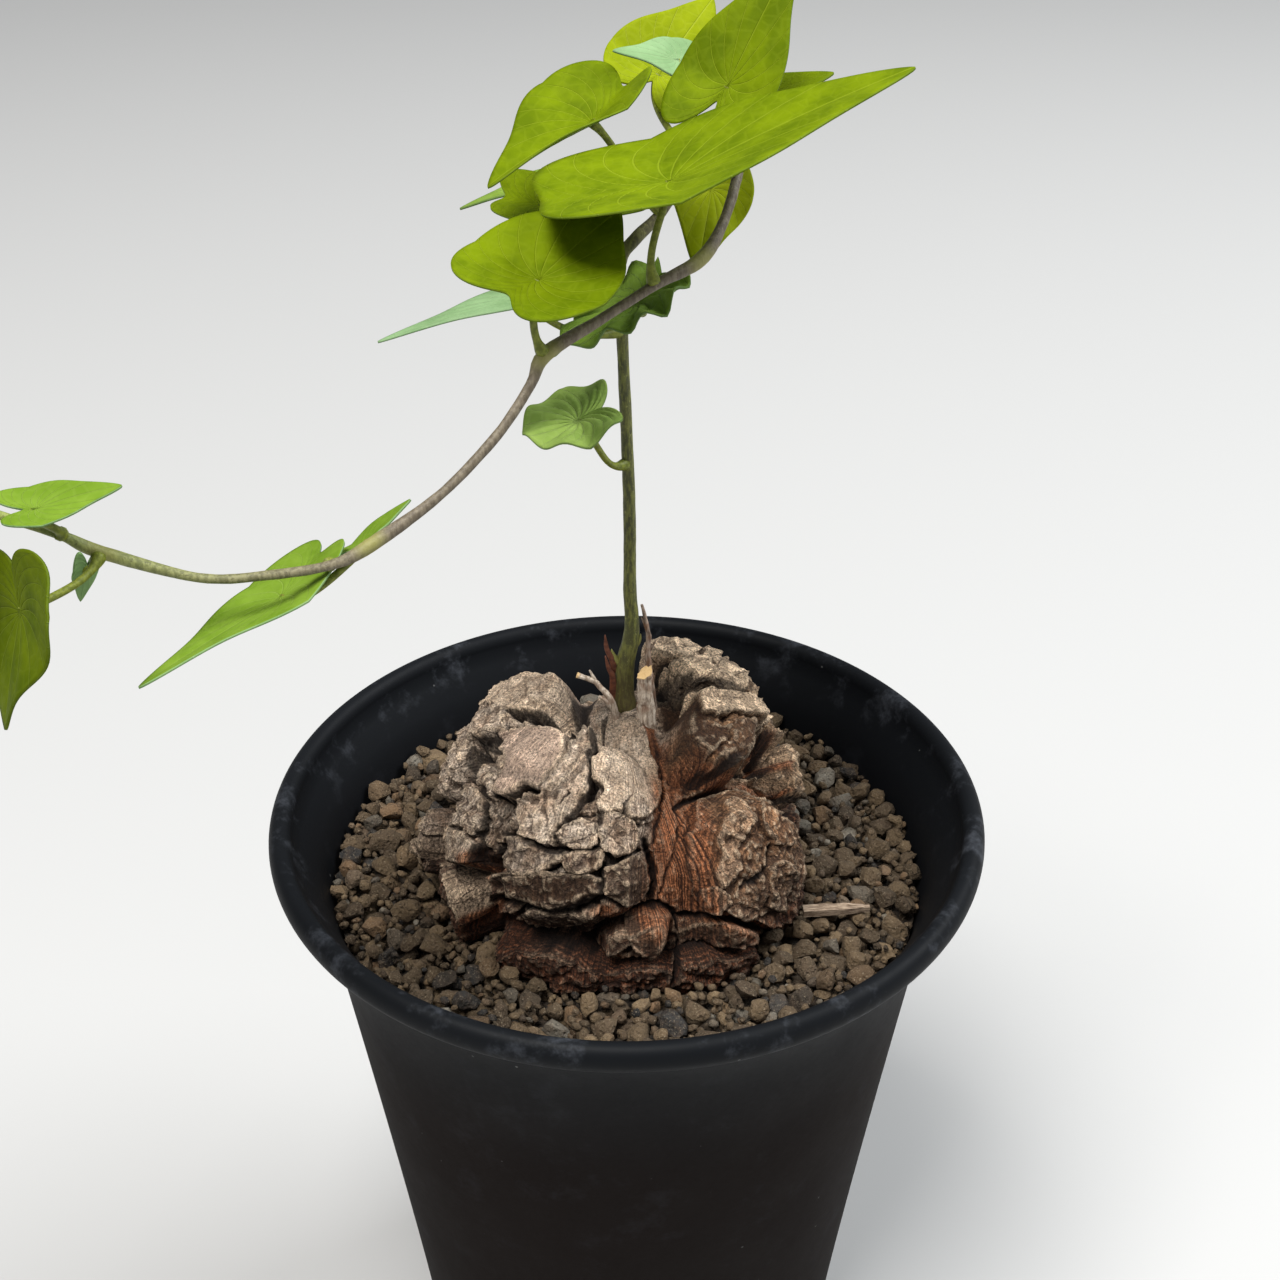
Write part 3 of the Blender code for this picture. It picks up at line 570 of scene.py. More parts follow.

# %% [markdown]
# ## The caudex: plates and cracks
#
# On every lobe the cork has torn into plates with sharp, slightly overhanging rims, the way mud
# cracks as it dries. The plates that face the camera are drawn as outlines on the photo, and their
# corners are carried onto the lobed body by rays. Where no outline is drawn, and all round the back,
# a Voronoi pattern divides the bark, because its cells meet as real plates do.

# %% Outlines of the plates in the photo
# Each plate: its height and its overhang in mm, how smooth it is from 0 to 1, how pale it is from -1 to 1
# (above 0 partly bleached cork and partly painted light, below 0 painted shade), then the corners of its
# outline in photo pixels
PLATES = {
    "top of the left hump": (1.2, 0.5, 0.5, 0.5, (
        (475, 708), (482, 697), (498, 678), (509, 668), (522, 664), (537, 671), (551, 674), (568, 676),
        (575, 681), (581, 694), (587, 707), (597, 712), (589, 719), (580, 727), (570, 728), (555, 724),
        (545, 718), (538, 716), (531, 711), (519, 709), (509, 711), (492, 708))),
    "upper layer of the left hump": (0.5, 0.3, 0.45, 0.4, (
        (528, 680), (545, 682), (568, 684), (576, 696), (585, 709), (588, 718), (570, 723), (553, 716),
        (540, 706), (531, 697), (532, 688))),
    "strip beside the left hump": (1.2, 0.6, 0.2, -0.1, (
        (470, 712), (477, 711), (503, 711), (508, 717), (508, 727), (500, 732), (491, 731), (483, 735),
        (474, 742), (462, 748), (455, 742), (461, 728))),
    "bump on the left": (1.2, 0.6, 0.1, -0.1, (
        (453, 745), (463, 751), (474, 747), (481, 756), (479, 768), (474, 777), (465, 785), (454, 777),
        (448, 767), (450, 754))),
    "smooth plate": (1.5, 0.6, 1.0, 0.0, (
        (499, 733), (512, 731), (525, 730), (551, 731), (568, 737), (562, 756), (549, 776), (537, 788),
        (528, 784), (519, 786), (517, 794), (508, 796), (497, 791), (504, 768), (507, 757), (499, 748))),
    "ragged edge of the smooth plate": (0.9, 0.5, 0.1, 0.0, (
        (488, 744), (497, 750), (505, 759), (501, 770), (496, 790), (503, 800), (498, 806), (487, 800),
        (480, 789), (482, 770), (485, 756))),
    "ledge under the crown": (0.9, 0.4, 0.9, 0.0, (
        (580, 729), (591, 717), (609, 714), (626, 716), (627, 727), (615, 731), (597, 731), (583, 735))),
    "front lobe, left": (1.4, 0.5, 0.65, 0.15, (
        (574, 741), (582, 734), (597, 732), (615, 731), (606, 741), (594, 747), (589, 756), (593, 768),
        (591, 779), (585, 793), (580, 803), (582, 811), (568, 820), (556, 831), (553, 846), (535, 838),
        (518, 832), (516, 817), (521, 799), (535, 788), (550, 776), (563, 758), (568, 745))),
    "front lobe, right": (1.5, 0.5, 0.7, 0.36, (
        (603, 744), (614, 735), (629, 738), (644, 747), (653, 764), (659, 788), (656, 805), (644, 817),
        (632, 817), (615, 810), (600, 811), (597, 799), (603, 788), (594, 776), (594, 764), (591, 758))),
    "block by the groove": (1.3, 0.6, 0.0, -0.2, (
        (597, 815), (615, 812), (632, 819), (638, 835), (635, 849), (615, 856), (603, 849), (596, 835))),
    "small knob by the groove": (1.2, 0.5, 0.0, -0.2, (
        (627, 803), (638, 799), (646, 806), (652, 818), (640, 826), (634, 818), (628, 811))),
    "block under the zigzag": (1.2, 0.5, 0.0, -0.2, (
        (558, 834), (568, 826), (582, 821), (594, 826), (595, 842), (588, 848), (574, 850), (563, 845))),
    "left block of the upper row": (1.4, 0.8, 0.0, -0.4, (
        (509, 835), (527, 840), (544, 850), (557, 853), (561, 862), (547, 866), (533, 871), (521, 873),
        (512, 864), (507, 849))),
    "middle block of the upper row": (1.2, 0.8, 0.0, -0.6, (
        (563, 854), (578, 852), (598, 850), (602, 860), (597, 869), (582, 872), (568, 870), (562, 863))),
    "block of the lower row": (1.7, 1.1, 0.0, -0.75, (
        (503, 873), (524, 878), (545, 873), (562, 876), (580, 874), (597, 878), (600, 892), (585, 904),
        (562, 907), (541, 906), (521, 899), (506, 890))),
    "left end of the lower row": (1.2, 0.8, 0.0, -0.1, (
        (494, 891), (505, 866), (513, 872), (505, 880), (509, 893), (518, 902), (516, 909), (501, 911),
        (495, 902))),
    "right block of the lower row": (1.4, 0.8, 0.0, -0.65, (
        (603, 871), (618, 864), (634, 857), (644, 866), (646, 882), (640, 898), (620, 903), (606, 892))),
    "ledge over the foot": (0.9, 0.6, 0.0, -0.4, (
        (518, 917), (535, 911), (562, 912), (583, 908), (600, 905), (597, 914), (582, 922), (559, 926),
        (535, 925))),
    "middle lump of the foot": (1.5, 0.6, 0.2, 0.0, (
        (626, 922), (640, 913), (655, 908), (668, 916), (674, 930), (672, 947), (655, 952), (638, 948),
        (630, 937))),
    "left lump of the foot": (1.1, 0.5, 0.2, 0.0, (
        (596, 941), (604, 930), (617, 926), (628, 930), (632, 945), (618, 951), (600, 951))),
    "right lump of the foot": (1.3, 0.6, 0.2, 0.0, (
        (680, 928), (697, 924), (720, 922), (742, 928), (757, 934), (752, 943), (730, 946), (683, 948))),
    "rim of the boss": (1.2, 0.7, 0.0, -0.3, (
        (697, 803), (714, 797), (732, 792), (752, 797), (768, 805), (780, 820), (795, 838), (797, 862),
        (794, 893), (787, 915), (770, 925), (745, 918), (725, 908), (702, 906), (692, 893), (689, 868),
        (690, 836))),
    "ridge of the boss": (0.9, 0.5, 0.0, 0.3, (
        (719, 806), (732, 802), (744, 810), (750, 826), (744, 838), (737, 848), (739, 862), (730, 878),
        (717, 883), (712, 868), (719, 852), (714, 838), (722, 824))),
    "low knob of the boss": (1.0, 0.5, 0.0, 0.35, (
        (699, 886), (712, 883), (722, 889), (728, 900), (716, 908), (701, 905))),
    "right knob of the boss": (0.9, 0.5, 0.0, 0.1, (
        (768, 866), (778, 858), (786, 868), (785, 890), (778, 908), (764, 903), (768, 885))),
    "upper edge of the boss": (0.7, 0.4, 0.0, 0.0, (
        (757, 806), (770, 812), (783, 828), (786, 844), (773, 842), (764, 830), (757, 818))),
    "top of the shoulder": (1.6, 1.3, 0.3, 0.9, (
        (657, 702), (668, 695), (690, 690), (722, 689), (746, 693), (759, 700), (768, 718), (760, 724),
        (751, 712), (733, 710), (718, 716), (702, 711), (688, 702), (672, 704))),
    "face of the shoulder": (0.2, 0.2, 0.7, -0.8, (
        (658, 712), (683, 708), (706, 720), (722, 722), (735, 722), (728, 738), (712, 752), (702, 770),
        (690, 770), (677, 750), (665, 728))),
    "right face of the shoulder": (0.4, 0.3, 0.5, -0.55, (
        (736, 718), (752, 716), (762, 727), (758, 745), (750, 764), (730, 768), (712, 766), (722, 750),
        (733, 737))),
    "top of the back hump": (1.3, 0.8, 0.2, 1.1, (
        (644, 640), (656, 635), (673, 637), (691, 642), (710, 649), (720, 656), (700, 658), (680, 656),
        (664, 660), (652, 668), (645, 660))),
    "step of the back hump": (1.4, 1.0, 0.2, 1.1, (
        (665, 670), (676, 662), (691, 660), (709, 656), (722, 658), (737, 668), (745, 681), (744, 690),
        (725, 687), (700, 689), (678, 690), (668, 682))),
    "upper right wart": (1.2, 0.7, 0.1, 0.3, (
        (763, 730), (775, 734), (786, 742), (800, 754), (790, 762), (776, 765), (764, 765), (752, 768),
        (758, 750))),
    "lower right wart": (1.0, 0.6, 0.1, -0.4, (
        (784, 767), (790, 770), (792, 780), (778, 793), (762, 792), (752, 780), (756, 771), (770, 769))),
    "face of the upper left wart": (1.3, 0.8, 0.2, 0.3, (
        (415, 845), (428, 835), (447, 832), (465, 832), (476, 846), (471, 861), (440, 863), (424, 857))),
    "top of the upper left wart": (0.9, 0.6, 0.2, -0.2, (
        (425, 821), (440, 815), (459, 813), (465, 826), (447, 831), (430, 833))),
    "lower left wart": (1.5, 0.9, 0.2, 0.5, (
        (449, 879), (459, 870), (472, 864), (487, 864), (496, 880), (499, 892), (481, 910), (466, 922),
        (455, 910), (450, 894))),
    "left knob": (1.1, 0.6, 0.1, -0.2, (
        (461, 799), (468, 791), (481, 789), (489, 805), (483, 823), (477, 835), (465, 829), (460, 814))),
    "knob beside the lobe": (1.1, 0.6, 0.1, -0.1, (
        (490, 805), (503, 802), (513, 808), (515, 829), (509, 843), (497, 858), (487, 846), (484, 829))),
}
print("plates drawn:", len(PLATES))

# %% [markdown]
# Between and across the plates run deep cracks. Each is a chain of pixels down the dark line that
# it makes in the photo. The few at the back, which no photo shows, are left to the Voronoi cells.

# %% Cracks in the photo
# Each crack: its depth and half width in mm, then the pixels that it runs through
CRACKS = {
    "zigzag": (2.0, 0.5, (
        (606, 742), (595, 749), (588, 757), (590, 765), (592, 773), (592, 782), (587, 794), (579, 801),
        (577, 809), (573, 816), (567, 819), (559, 826), (556, 833))),
    "fork of the zigzag": (1.0, 0.35, ((577, 818), (590, 815), (598, 811))),
    "short cut in the front lobe": (0.9, 0.3, ((560, 803), (565, 797), (570, 792))),
    "first fold of the front lobe": (0.5, 0.5, ((534, 796), (531, 812), (533, 832))),
    "second fold of the front lobe": (0.6, 0.5, ((545, 792), (543, 806), (546, 826), (551, 845))),
    "third fold of the front lobe": (0.5, 0.5, ((555, 788), (552, 806), (555, 824))),
    "under the left hump": (2.2, 0.8, (
        (506, 712), (519, 713), (531, 715), (545, 722), (555, 727), (570, 731), (582, 729), (592, 722))),
    "under the smooth plate": (1.6, 0.5, ((513, 797), (518, 790), (524, 786), (531, 787), (537, 790))),
    "over the smooth plate": (1.2, 0.5, ((510, 727), (525, 727), (545, 728), (560, 732), (572, 738))),
    "pocket on the left": (2.2, 1.0, ((499, 740), (491, 744), (483, 748))),
    "lower pocket on the left": (1.6, 0.9, ((481, 758), (479, 770), (474, 782))),
    "beside the ragged edge": (1.0, 0.4, ((503, 757), (507, 765), (499, 780), (497, 792), (508, 803))),
    "over the block by the groove": (1.3, 0.35, (
        (602, 809), (609, 811), (617, 809), (624, 811), (629, 806), (633, 799))),
    "under the small knob": (1.0, 0.35, ((629, 806), (629, 814), (632, 820), (639, 823))),
    "left of the block by the groove": (1.3, 0.45, (
        (602, 811), (600, 821), (595, 832), (597, 844), (601, 854))),
    "over the upper row": (1.4, 0.5, (
        (509, 832), (520, 836), (533, 845), (546, 852), (559, 851), (567, 850), (582, 851), (597, 850),
        (603, 853), (612, 860))),
    "between the rows, left": (1.5, 0.5, (
        (503, 868), (514, 873), (525, 875), (538, 871), (547, 867), (563, 866))),
    "between the rows, right": (1.3, 0.45, (
        (564, 873), (574, 874), (586, 872), (597, 873), (603, 868), (615, 861), (627, 855), (640, 850))),
    "between the upper blocks": (1.0, 0.4, ((560, 852), (562, 860), (562, 868))),
    "right of the blocks": (2.2, 0.7, ((645, 842), (650, 856), (654, 868), (655, 885), (651, 898))),
    "under the lower row": (2.6, 0.9, (
        (505, 897), (521, 905), (544, 910), (569, 909), (588, 904), (600, 896), (602, 884), (601, 872))),
    "under the right block": (1.5, 0.6, ((603, 897), (615, 905), (632, 905), (644, 897))),
    "over the foot": (1.6, 0.6, (
        (592, 941), (597, 930), (607, 922), (624, 916), (636, 909), (650, 905), (659, 904), (668, 911),
        (677, 918), (697, 920), (716, 917), (735, 922), (756, 931), (776, 928))),
    "seam of the foot": (1.8, 0.45, ((677, 918), (678, 935), (677, 955), (675, 985))),
    "left seam of the foot": (1.1, 0.5, ((520, 925), (541, 936), (562, 948), (580, 952), (596, 953))),
    "under the left lumps": (0.9, 0.4, ((600, 953), (618, 953), (636, 951), (655, 955), (673, 950))),
    "under the right lump": (0.9, 0.4, ((682, 951), (705, 948), (730, 949), (752, 946), (765, 938))),
    "left edge of the groove": (0.9, 0.4, (
        (644, 728), (655, 748), (664, 770), (664, 795), (658, 822), (653, 845))),
    "middle of the groove": (0.8, 0.4, (
        (646, 727), (661, 750), (672, 775), (678, 808), (681, 835), (671, 870), (661, 895), (659, 904))),
    "right of the groove": (0.8, 0.3, ((655, 727), (670, 750), (684, 775), (690, 792))),
    "far right of the groove": (0.7, 0.3, ((663, 727), (680, 748), (697, 768))),
    "left of the boss": (0.8, 0.3, ((690, 812), (688, 840), (690, 870), (697, 895), (706, 908))),
    "over the boss": (1.6, 0.55, (
        (678, 808), (690, 799), (706, 794), (719, 790), (735, 788), (752, 791), (770, 801), (781, 814))),
    "under the shoulder": (1.6, 0.8, ((697, 775), (709, 776), (720, 768), (740, 770), (757, 776))),
    "pits of the boss": (1.2, 0.5, ((752, 884), (762, 873), (770, 858), (772, 846))),
    "low pit of the boss": (1.0, 0.5, ((742, 888), (748, 882), (756, 886))),
    "side of the shoulder": (1.6, 0.6, ((768, 722), (762, 736), (761, 748), (751, 768))),
    "under the step of the back hump": (2.0, 0.7, (
        (660, 696), (672, 692), (688, 692), (710, 690), (735, 690), (748, 692))),
    "over the step of the back hump": (1.3, 0.5, (
        (657, 672), (668, 664), (684, 658), (705, 655), (722, 657))),
    "between the left knobs": (1.3, 0.5, (
        (482, 786), (490, 800), (484, 820), (479, 838), (488, 850), (497, 860))),
    "left knobs from the lobe": (1.7, 0.6, ((508, 800), (516, 812), (517, 829), (511, 846), (505, 860))),
    "between the left warts": (1.8, 0.8, ((478, 848), (478, 860), (487, 862), (499, 870))),
}
print("cracks drawn:", len(CRACKS))

# %% Where the cork is young and red
# Each line: how far its rust spreads in mm, then the pixels that it runs through
RUST_LINES = {
    "top of the groove": (1.5, ((642, 726), (653, 748), (661, 775))),
    "groove": (4.0, ((668, 788), (670, 830), (666, 870), (660, 905))),
    "right of the groove": (3.4, ((684, 806), (684, 840), (682, 880), (690, 905))),
    "under the shoulder": (1.1, ((694, 774), (720, 785), (750, 785), (772, 797))),
    "beside the right warts": (0.9, ((764, 738), (761, 770), (785, 766))),
    "over the foot": (1.5, ((600, 914), (640, 908), (680, 915), (720, 920), (770, 928))),
    "between the left warts": (1.7, ((468, 862), (486, 858), (498, 872))),
    "foot of the left wart": (1.6, ((470, 926), (486, 912), (500, 905))),
}
print("rust lines drawn:", len(RUST_LINES))

# %% Carry the drawing onto the caudex
SHEET_RADIUS = 30.0
SHEET_SIGHT = 0.35
FIRST_DIVISIONS = 6


def caudex_tree():
    """The lobed body, still without its skin, ready for rays to meet it."""
    bm = bmesh.new()
    bmesh.ops.create_icosphere(bm, subdivisions=FIRST_DIVISIONS, radius=1.0)
    directions = directions_of(bm)
    radii = body_radius(directions) + lobe_relief(directions)
    for vert, direction, radius in zip(bm.verts, directions, radii):
        vert.co = (HEART + Vector(direction * radius)) * MM
    tree = BVHTree.FromBMesh(bm)
    bm.free()
    return tree


def direction_at(tree, pixel):
    """Direction from the heart of the place on the caudex that a pixel shows."""
    ray = photo_ray(pixel)
    hit = tree.ray_cast(CAMERA_PLACE * MM, ray)[0]
    if hit is None:
        hit = (CAMERA_PLACE + ray * ray.dot(HEART - CAMERA_PLACE)) * MM
    return np.array((hit / MM - HEART).normalized())


def flat_sheet(corners):
    """A flat sheet that touches the plate's middle, with its corners drawn on it in mm."""
    middle = np.mean(corners, axis=0)
    middle /= np.linalg.norm(middle)
    across = np.cross((0.0, 0.0, 1.0), middle)
    across /= np.linalg.norm(across)
    axes = (middle, across, np.cross(middle, across))
    return axes, [on_sheet(axes, corner[None, :])[0] for corner in corners]


def on_sheet(axes, directions):
    """Where lines from the heart in these directions meet the sheet, in mm."""
    middle, across, along = axes
    facing = np.maximum(directions @ middle, SHEET_SIGHT)
    return np.stack([directions @ across / facing, directions @ along / facing], axis=1) * SHEET_RADIUS


def inside_distance(outline, points):
    """Distance from the outline in mm, positive inside it."""
    x, y = points[:, 0], points[:, 1]
    nearest = np.full(len(points), np.inf)
    inside = np.zeros(len(points), dtype=bool)
    for (x0, y0), (x1, y1) in zip(outline, outline[1:] + outline[:1]):
        dx, dy = x1 - x0, y1 - y0
        t = np.clip(((x - x0) * dx + (y - y0) * dy) / (dx * dx + dy * dy), 0.0, 1.0)
        nearest = np.minimum(nearest, np.hypot(x - x0 - t * dx, y - y0 - t * dy))
        crosses = ((y0 > y) != (y1 > y)) & (x < x0 + dx * (y - y0) / (dy if dy else 1e-9))
        inside ^= crosses
    return np.where(inside, nearest, -nearest)


tree = caudex_tree()
sheets = [(*traits, *flat_sheet([direction_at(tree, pixel) for pixel in outline]))
          for *traits, outline in PLATES.values()]
crack_lines = [(depth, width, [direction_at(tree, pixel) for pixel in line])
               for depth, width, line in CRACKS.values()]
rust_lines = [(width, [direction_at(tree, pixel) for pixel in line])
              for width, line in RUST_LINES.values()]
print("plates and cracks on the caudex:", len(sheets), len(crack_lines))

# %% [markdown]
# ## The caudex: its skin
#
# Now the pieces add up. A plate lifts the skin over a narrow flank to a raised lip, and its rim is
# pushed outwards so that it overhangs. A crack cuts down. The cork grows a layer every year, and
# the layers show on the flanks like the contour lines of a map, so the height itself is cut into
# fine terraces. The edges of plates and cracks are torn, not smooth: the directions are shaken
# with noise before any distance is measured.

# %% Torn plates and cracks
TORN_SIZES = ((4.0, 0.60), (1.4, 0.32), (0.6, 0.16))
TORN_SEED = 11
FLANK = 0.55
LIP = 0.20
LIP_WIDTH = 0.8
OVERHANG_WIDTH = 1.6
LEAST_AWAY = 0.01
CRACK_FLANK = 1.7


def shaken(directions):
    """Directions moved sideways by noise. Its sizes and strengths are in mm."""
    moved = directions.copy()
    for size, strength in TORN_SIZES:
        for axis in range(3):
            wander = noise_values(directions, SHEET_RADIUS / size, TORN_SEED + axis)
            moved[:, axis] += strength / SHEET_RADIUS * wander
    return moved / np.linalg.norm(moved, axis=1, keepdims=True)


def plate_relief(torn):
    """Height and sideways push from the drawn plates, and the traits of the plate at each point."""
    height = np.zeros(len(torn))
    push = np.zeros((len(torn), 3))
    traits = {"plateau": np.zeros(len(torn)), "calm": np.zeros(len(torn)), "tone": np.zeros(len(torn))}
    for rise, lean, calm, tone, axes, outline in sheets:
        seen = np.flatnonzero(torn @ axes[0] > SHEET_SIGHT)
        points = on_sheet(axes, torn[seen])
        inside = inside_distance(outline, points)
        top = smooth_step(-FLANK / 2, FLANK, inside)
        depth_in = np.maximum(inside, 0.0)
        height[seen] += top * (rise + LIP * np.exp(-(depth_in / LIP_WIDTH) ** 2))
        away = points - np.mean(outline, axis=0)
        away /= np.maximum(np.linalg.norm(away, axis=1, keepdims=True), LEAST_AWAY)
        rim = lean * top * np.exp(-depth_in / OVERHANG_WIDTH)
        push[seen] += rim[:, None] * (away[:, :1] * axes[1] + away[:, 1:] * axes[2])
        traits["plateau"][seen] = np.maximum(traits["plateau"][seen], top)
        traits["calm"][seen] = np.maximum(traits["calm"][seen], top * calm)
        traits["tone"][seen] += top * (tone - traits["tone"][seen])
    return height, push, traits


def line_distance(directions, line):
    """Distance in mm from a chain of directions."""
    nearest = np.full(len(directions), np.inf)
    for start, end in zip(line, line[1:]):
        run = end - start
        t = np.clip((directions - start) @ run / (run @ run), 0.0, 1.0)
        away = np.linalg.norm(directions - start - t[:, None] * run, axis=1)
        nearest = np.minimum(nearest, away * SHEET_RADIUS)
    return nearest


def crack_relief(torn):
    """Depth of the drawn cracks."""
    depth = np.zeros(len(torn))
    for deep, width, line in crack_lines:
        cut = 1.0 - smooth_step(0.0, CRACK_FLANK * width, line_distance(torn, line))
        depth = np.maximum(depth, deep * cut)
    return depth


def rust_region(directions):
    """How rusty the cork is, from 1 on a drawn line down to 0 away from all of them."""
    spread = [np.exp(-(line_distance(directions, line) / width) ** 2)
              for width, line in rust_lines]
    return np.max(spread, axis=0)


print("sizes of the torn edges in mm:", [size for size, _ in TORN_SIZES])

# %% Broken cells, layers and fans
# Each kind of cell: its size, the height of its steps, the depth and the width of its cracks
CELLS = ((9.0, 0.25, 0.75, 0.16), (4.0, 0.45, 0.30, 0.16), (1.9, 0.26, 0.12, 0.2))
CELL_PICK = 17.0
PATCH_SCALE = 2.6
PATCH_FROM = -0.25
PATCH_WIDTH = 0.45
TERRACE = 0.62
TERRACE_DEPTH = 0.17
TERRACE_WANDER = 0.6
TERRACE_SCALE = 5.0
TERRACE_SEED = 8
FAN_DEPTH = 0.10
FAN_DEPTH_IN_GROOVE = 0.24
FAN_TURNS = 20.0
FAN_CLIMB = 1.4
FAN_SEED = 6
# Each size of bump and its height in mm
ROUGH_SIZES = ((3.2, 0.40), (1.4, 0.40), (0.8, 0.34))
ROUGH_SEED = 20
ROUGH_LEAST = 0.15
RIDGE_MEAN = 0.45
PLATES_MEAN = 0.7
# How much calmer each kind of detail is on a plate's top, on calm cork or in rust
TERRACE_CALM = 0.6
FAN_CALM = 0.7
RUST_CALM = 0.75
CROWN_DETAIL = 0.5


def cell_relief(torn):
    """The bark's own plates and chips: steps between Voronoi cells, with cracks along them."""
    height = np.zeros(len(torn))
    for size, rise, deep, width in CELLS:
        found = [noise.voronoi(Vector(point) * SHEET_RADIUS / size) for point in torn]
        border = np.array([away[1] - away[0] for away, _ in found])
        level = np.array([noise.cell(points[0] * CELL_PICK) for _, points in found])
        patch = smooth_step(PATCH_FROM, PATCH_WIDTH, noise_values(torn, PATCH_SCALE, size))
        edge = smooth_step(0.0, width, border)
        height += patch * (rise * level * edge - deep * (1.0 - edge))
    return height


def ridged(values):
    """Noise folded at its middle, which gives sharp furrows."""
    return 2.0 * np.abs(values) - RIDGE_MEAN


def fan_turn(directions):
    """Turn round the crown in degrees, along which the cork of the great lobes is combed."""
    place = np.array(HEART) + directions * BODY_HALF_WIDTH
    return np.degrees(np.arctan2(place[:, 1] - CROWN.y, place[:, 0] - CROWN.x))


def combed(directions, fan):
    """Furrows that run down from the crown."""
    turn = np.radians(fan)
    comb = [FAN_TURNS * np.cos(turn), FAN_TURNS * np.sin(turn), FAN_CLIMB * directions[:, 2]]
    return ridged(noise_values(np.stack(comb, axis=1), 1.0, FAN_SEED))


def terraces(directions, layer, plateau):
    """A fine step for each layer of cork, fainter on top of a plate."""
    wave = layer / TERRACE + TERRACE_WANDER * noise_values(directions, TERRACE_SCALE, TERRACE_SEED)
    saw = 4.0 * np.abs(wave - np.floor(wave) - 0.5) - 1.0
    return TERRACE_DEPTH * (1.0 - TERRACE_CALM * plateau) * saw


def bumps(directions):
    """Small sharp bumps in a few sizes."""
    return sum(height * ridged(noise_values(directions, SHEET_RADIUS / size, ROUGH_SEED + size))
               for size, height in ROUGH_SIZES)


def caudex_skin(directions):
    """Points on the caudex in mm, with the values that its colour needs."""
    lobes = lobe_relief(directions)
    torn = shaken(directions)
    plates, push, traits = plate_relief(torn)
    plateau, calm = traits.pop("plateau"), traits["calm"]
    cracks = crack_relief(torn)
    rust = rust_region(torn)
    wild = (1.0 - calm) * (1.0 - RUST_CALM * rust)
    layer = lobes + plates
    terrace = terraces(directions, layer, plateau)
    fan = fan_turn(directions)
    furrows = combed(directions, fan) * (FAN_DEPTH + FAN_DEPTH_IN_GROOVE * rust)
    furrows *= 1.0 - FAN_CALM * calm
    rough = bumps(directions) * (ROUGH_LEAST + (1.0 - ROUGH_LEAST) * wild)
    above_soil = smooth_step(SKIN_FADE_FROM, SKIN_FADE_WIDTH, directions[:, 2])
    fine = cell_relief(torn) * wild + terrace + rough + furrows
    relief = above_soil * (lobes + plates - cracks + fine - PLATES_MEAN)
    points = np.array(HEART) + directions * (body_radius(directions) + relief)[:, None]
    points += push * above_soil[:, None]
    near_stem = np.hypot(points[:, 0] - CROWN.x, points[:, 1] - CROWN.y)
    level = (1.0 - smooth_step(CROWN_RADIUS, CROWN_FADE, near_stem)) * (directions[:, 2] > 0)
    points[:, 2] += level * (CROWN.z + CROWN_DETAIL * fine - points[:, 2])
    return points, {"layer": layer, "fan": fan, "rust": rust, "crack": np.clip(cracks, 0.0, 1.0), **traits}


print("skin layers are", TERRACE, "mm apart")

# %% [markdown]
# A sphere of even triangles would waste most of them on flat plates and starve the flanks, so the
# mesh starts coarse, and every edge that comes out too long on the finished shape is split. The
# back may keep longer edges than the front, and what is below the gravel keeps its large triangles.

# %% Mesh of the caudex
EDGE_LIMITS = (0.92, 0.70, 0.645)
BACK_FROM = 0.25
BACK_FACTOR = 1.6
BURIED_Z = SOIL_Z - 3.5


def grow_caudex():
    """The dressed caudex, with each vertex's direction, place in mm and skin values."""
    bm = bmesh.new()
    bmesh.ops.create_icosphere(bm, subdivisions=FIRST_DIVISIONS, radius=1.0)
    for limit in EDGE_LIMITS:
        directions = directions_of(bm)
        points = caudex_skin(directions)[0]
        allowed = limit * np.where(directions[:, 1] < BACK_FROM, 1.0, BACK_FACTOR)
        bm.verts.index_update()
        ends = np.array([[vert.index for vert in edge.verts] for edge in bm.edges])
        lengths = np.linalg.norm(points[ends[:, 0]] - points[ends[:, 1]], axis=1)
        split = (lengths > allowed[ends[:, 0]]) & (points[ends[:, 0], 2] > BURIED_Z)
        edges = [edge for edge, wanted in zip(bm.edges, split) if wanted]
        bmesh.ops.subdivide_edges(bm, edges=edges, cuts=1)
        bmesh.ops.triangulate(bm, faces=bm.faces)
        print("edges split:", len(edges), "faces now:", len(bm.faces))
    directions = directions_of(bm)
    points, values = caudex_skin(directions)
    for vert, point in zip(bm.verts, points):
        vert.co = Vector(point) * MM
    return bm, directions, points, values


caudex_bm, skin_directions, skin_points, skin_values = grow_caudex()
print("caudex width in mm:", round(float(np.ptp(skin_points[:, 0])), 1))

# %% [markdown]
# ## The caudex: its colours
#
# Old cork weathers to grey, fresh cork in the grooves is rust red, and what stands near the gravel
# stays dark and damp. Where these lie is read off the photo once, as soft regions on the caudex,
# and stored on the vertices. Dirt and painted shade gather in hollows, while edges are rubbed pale
# and given painted highlights, so the script also measures how far each vertex lies below the mean
# of its neighbourhood.


# %% Regions and hollows of the caudex
HOLLOW_ROUNDS = {"hollow_fine": 4, "hollow_wide": 40}
# Soft spots: azimuth, elevation, half width and half height in degrees
WEATHERED_SPOTS = ((-150, 45, 62, 60), (170, 50, 60, 40))
TAN_SPOTS = ((12, 22, 16, 12), (50, 54, 34, 20))
BLEND_SCALE = 4.0
BLEND_SEED = 31
# Heights in mm below which the cork is damp, or browner: where it ends, its fade and its wander
DAMP_EDGE = (118.5, 10.0, 3.0)
LOW_EDGE = (125.5, 11.0, 4.0)


def region(directions, azimuth, elevation, half_width, half_height):
    """A soft spot around a direction, 1 in its middle."""
    beside, above = angles_from(directions, azimuth, elevation)
    a, b = beside / half_width, above / half_height
    return np.exp(-(a * a + b * b)) * (directions @ heading(azimuth, elevation) > 0)


def below(edge, patch):
    """1 low on the caudex and 0 above a wandering edge."""
    height, fade, wander = edge
    return 1.0 - smooth_step(height, fade, skin_points[:, 2] + wander * patch)


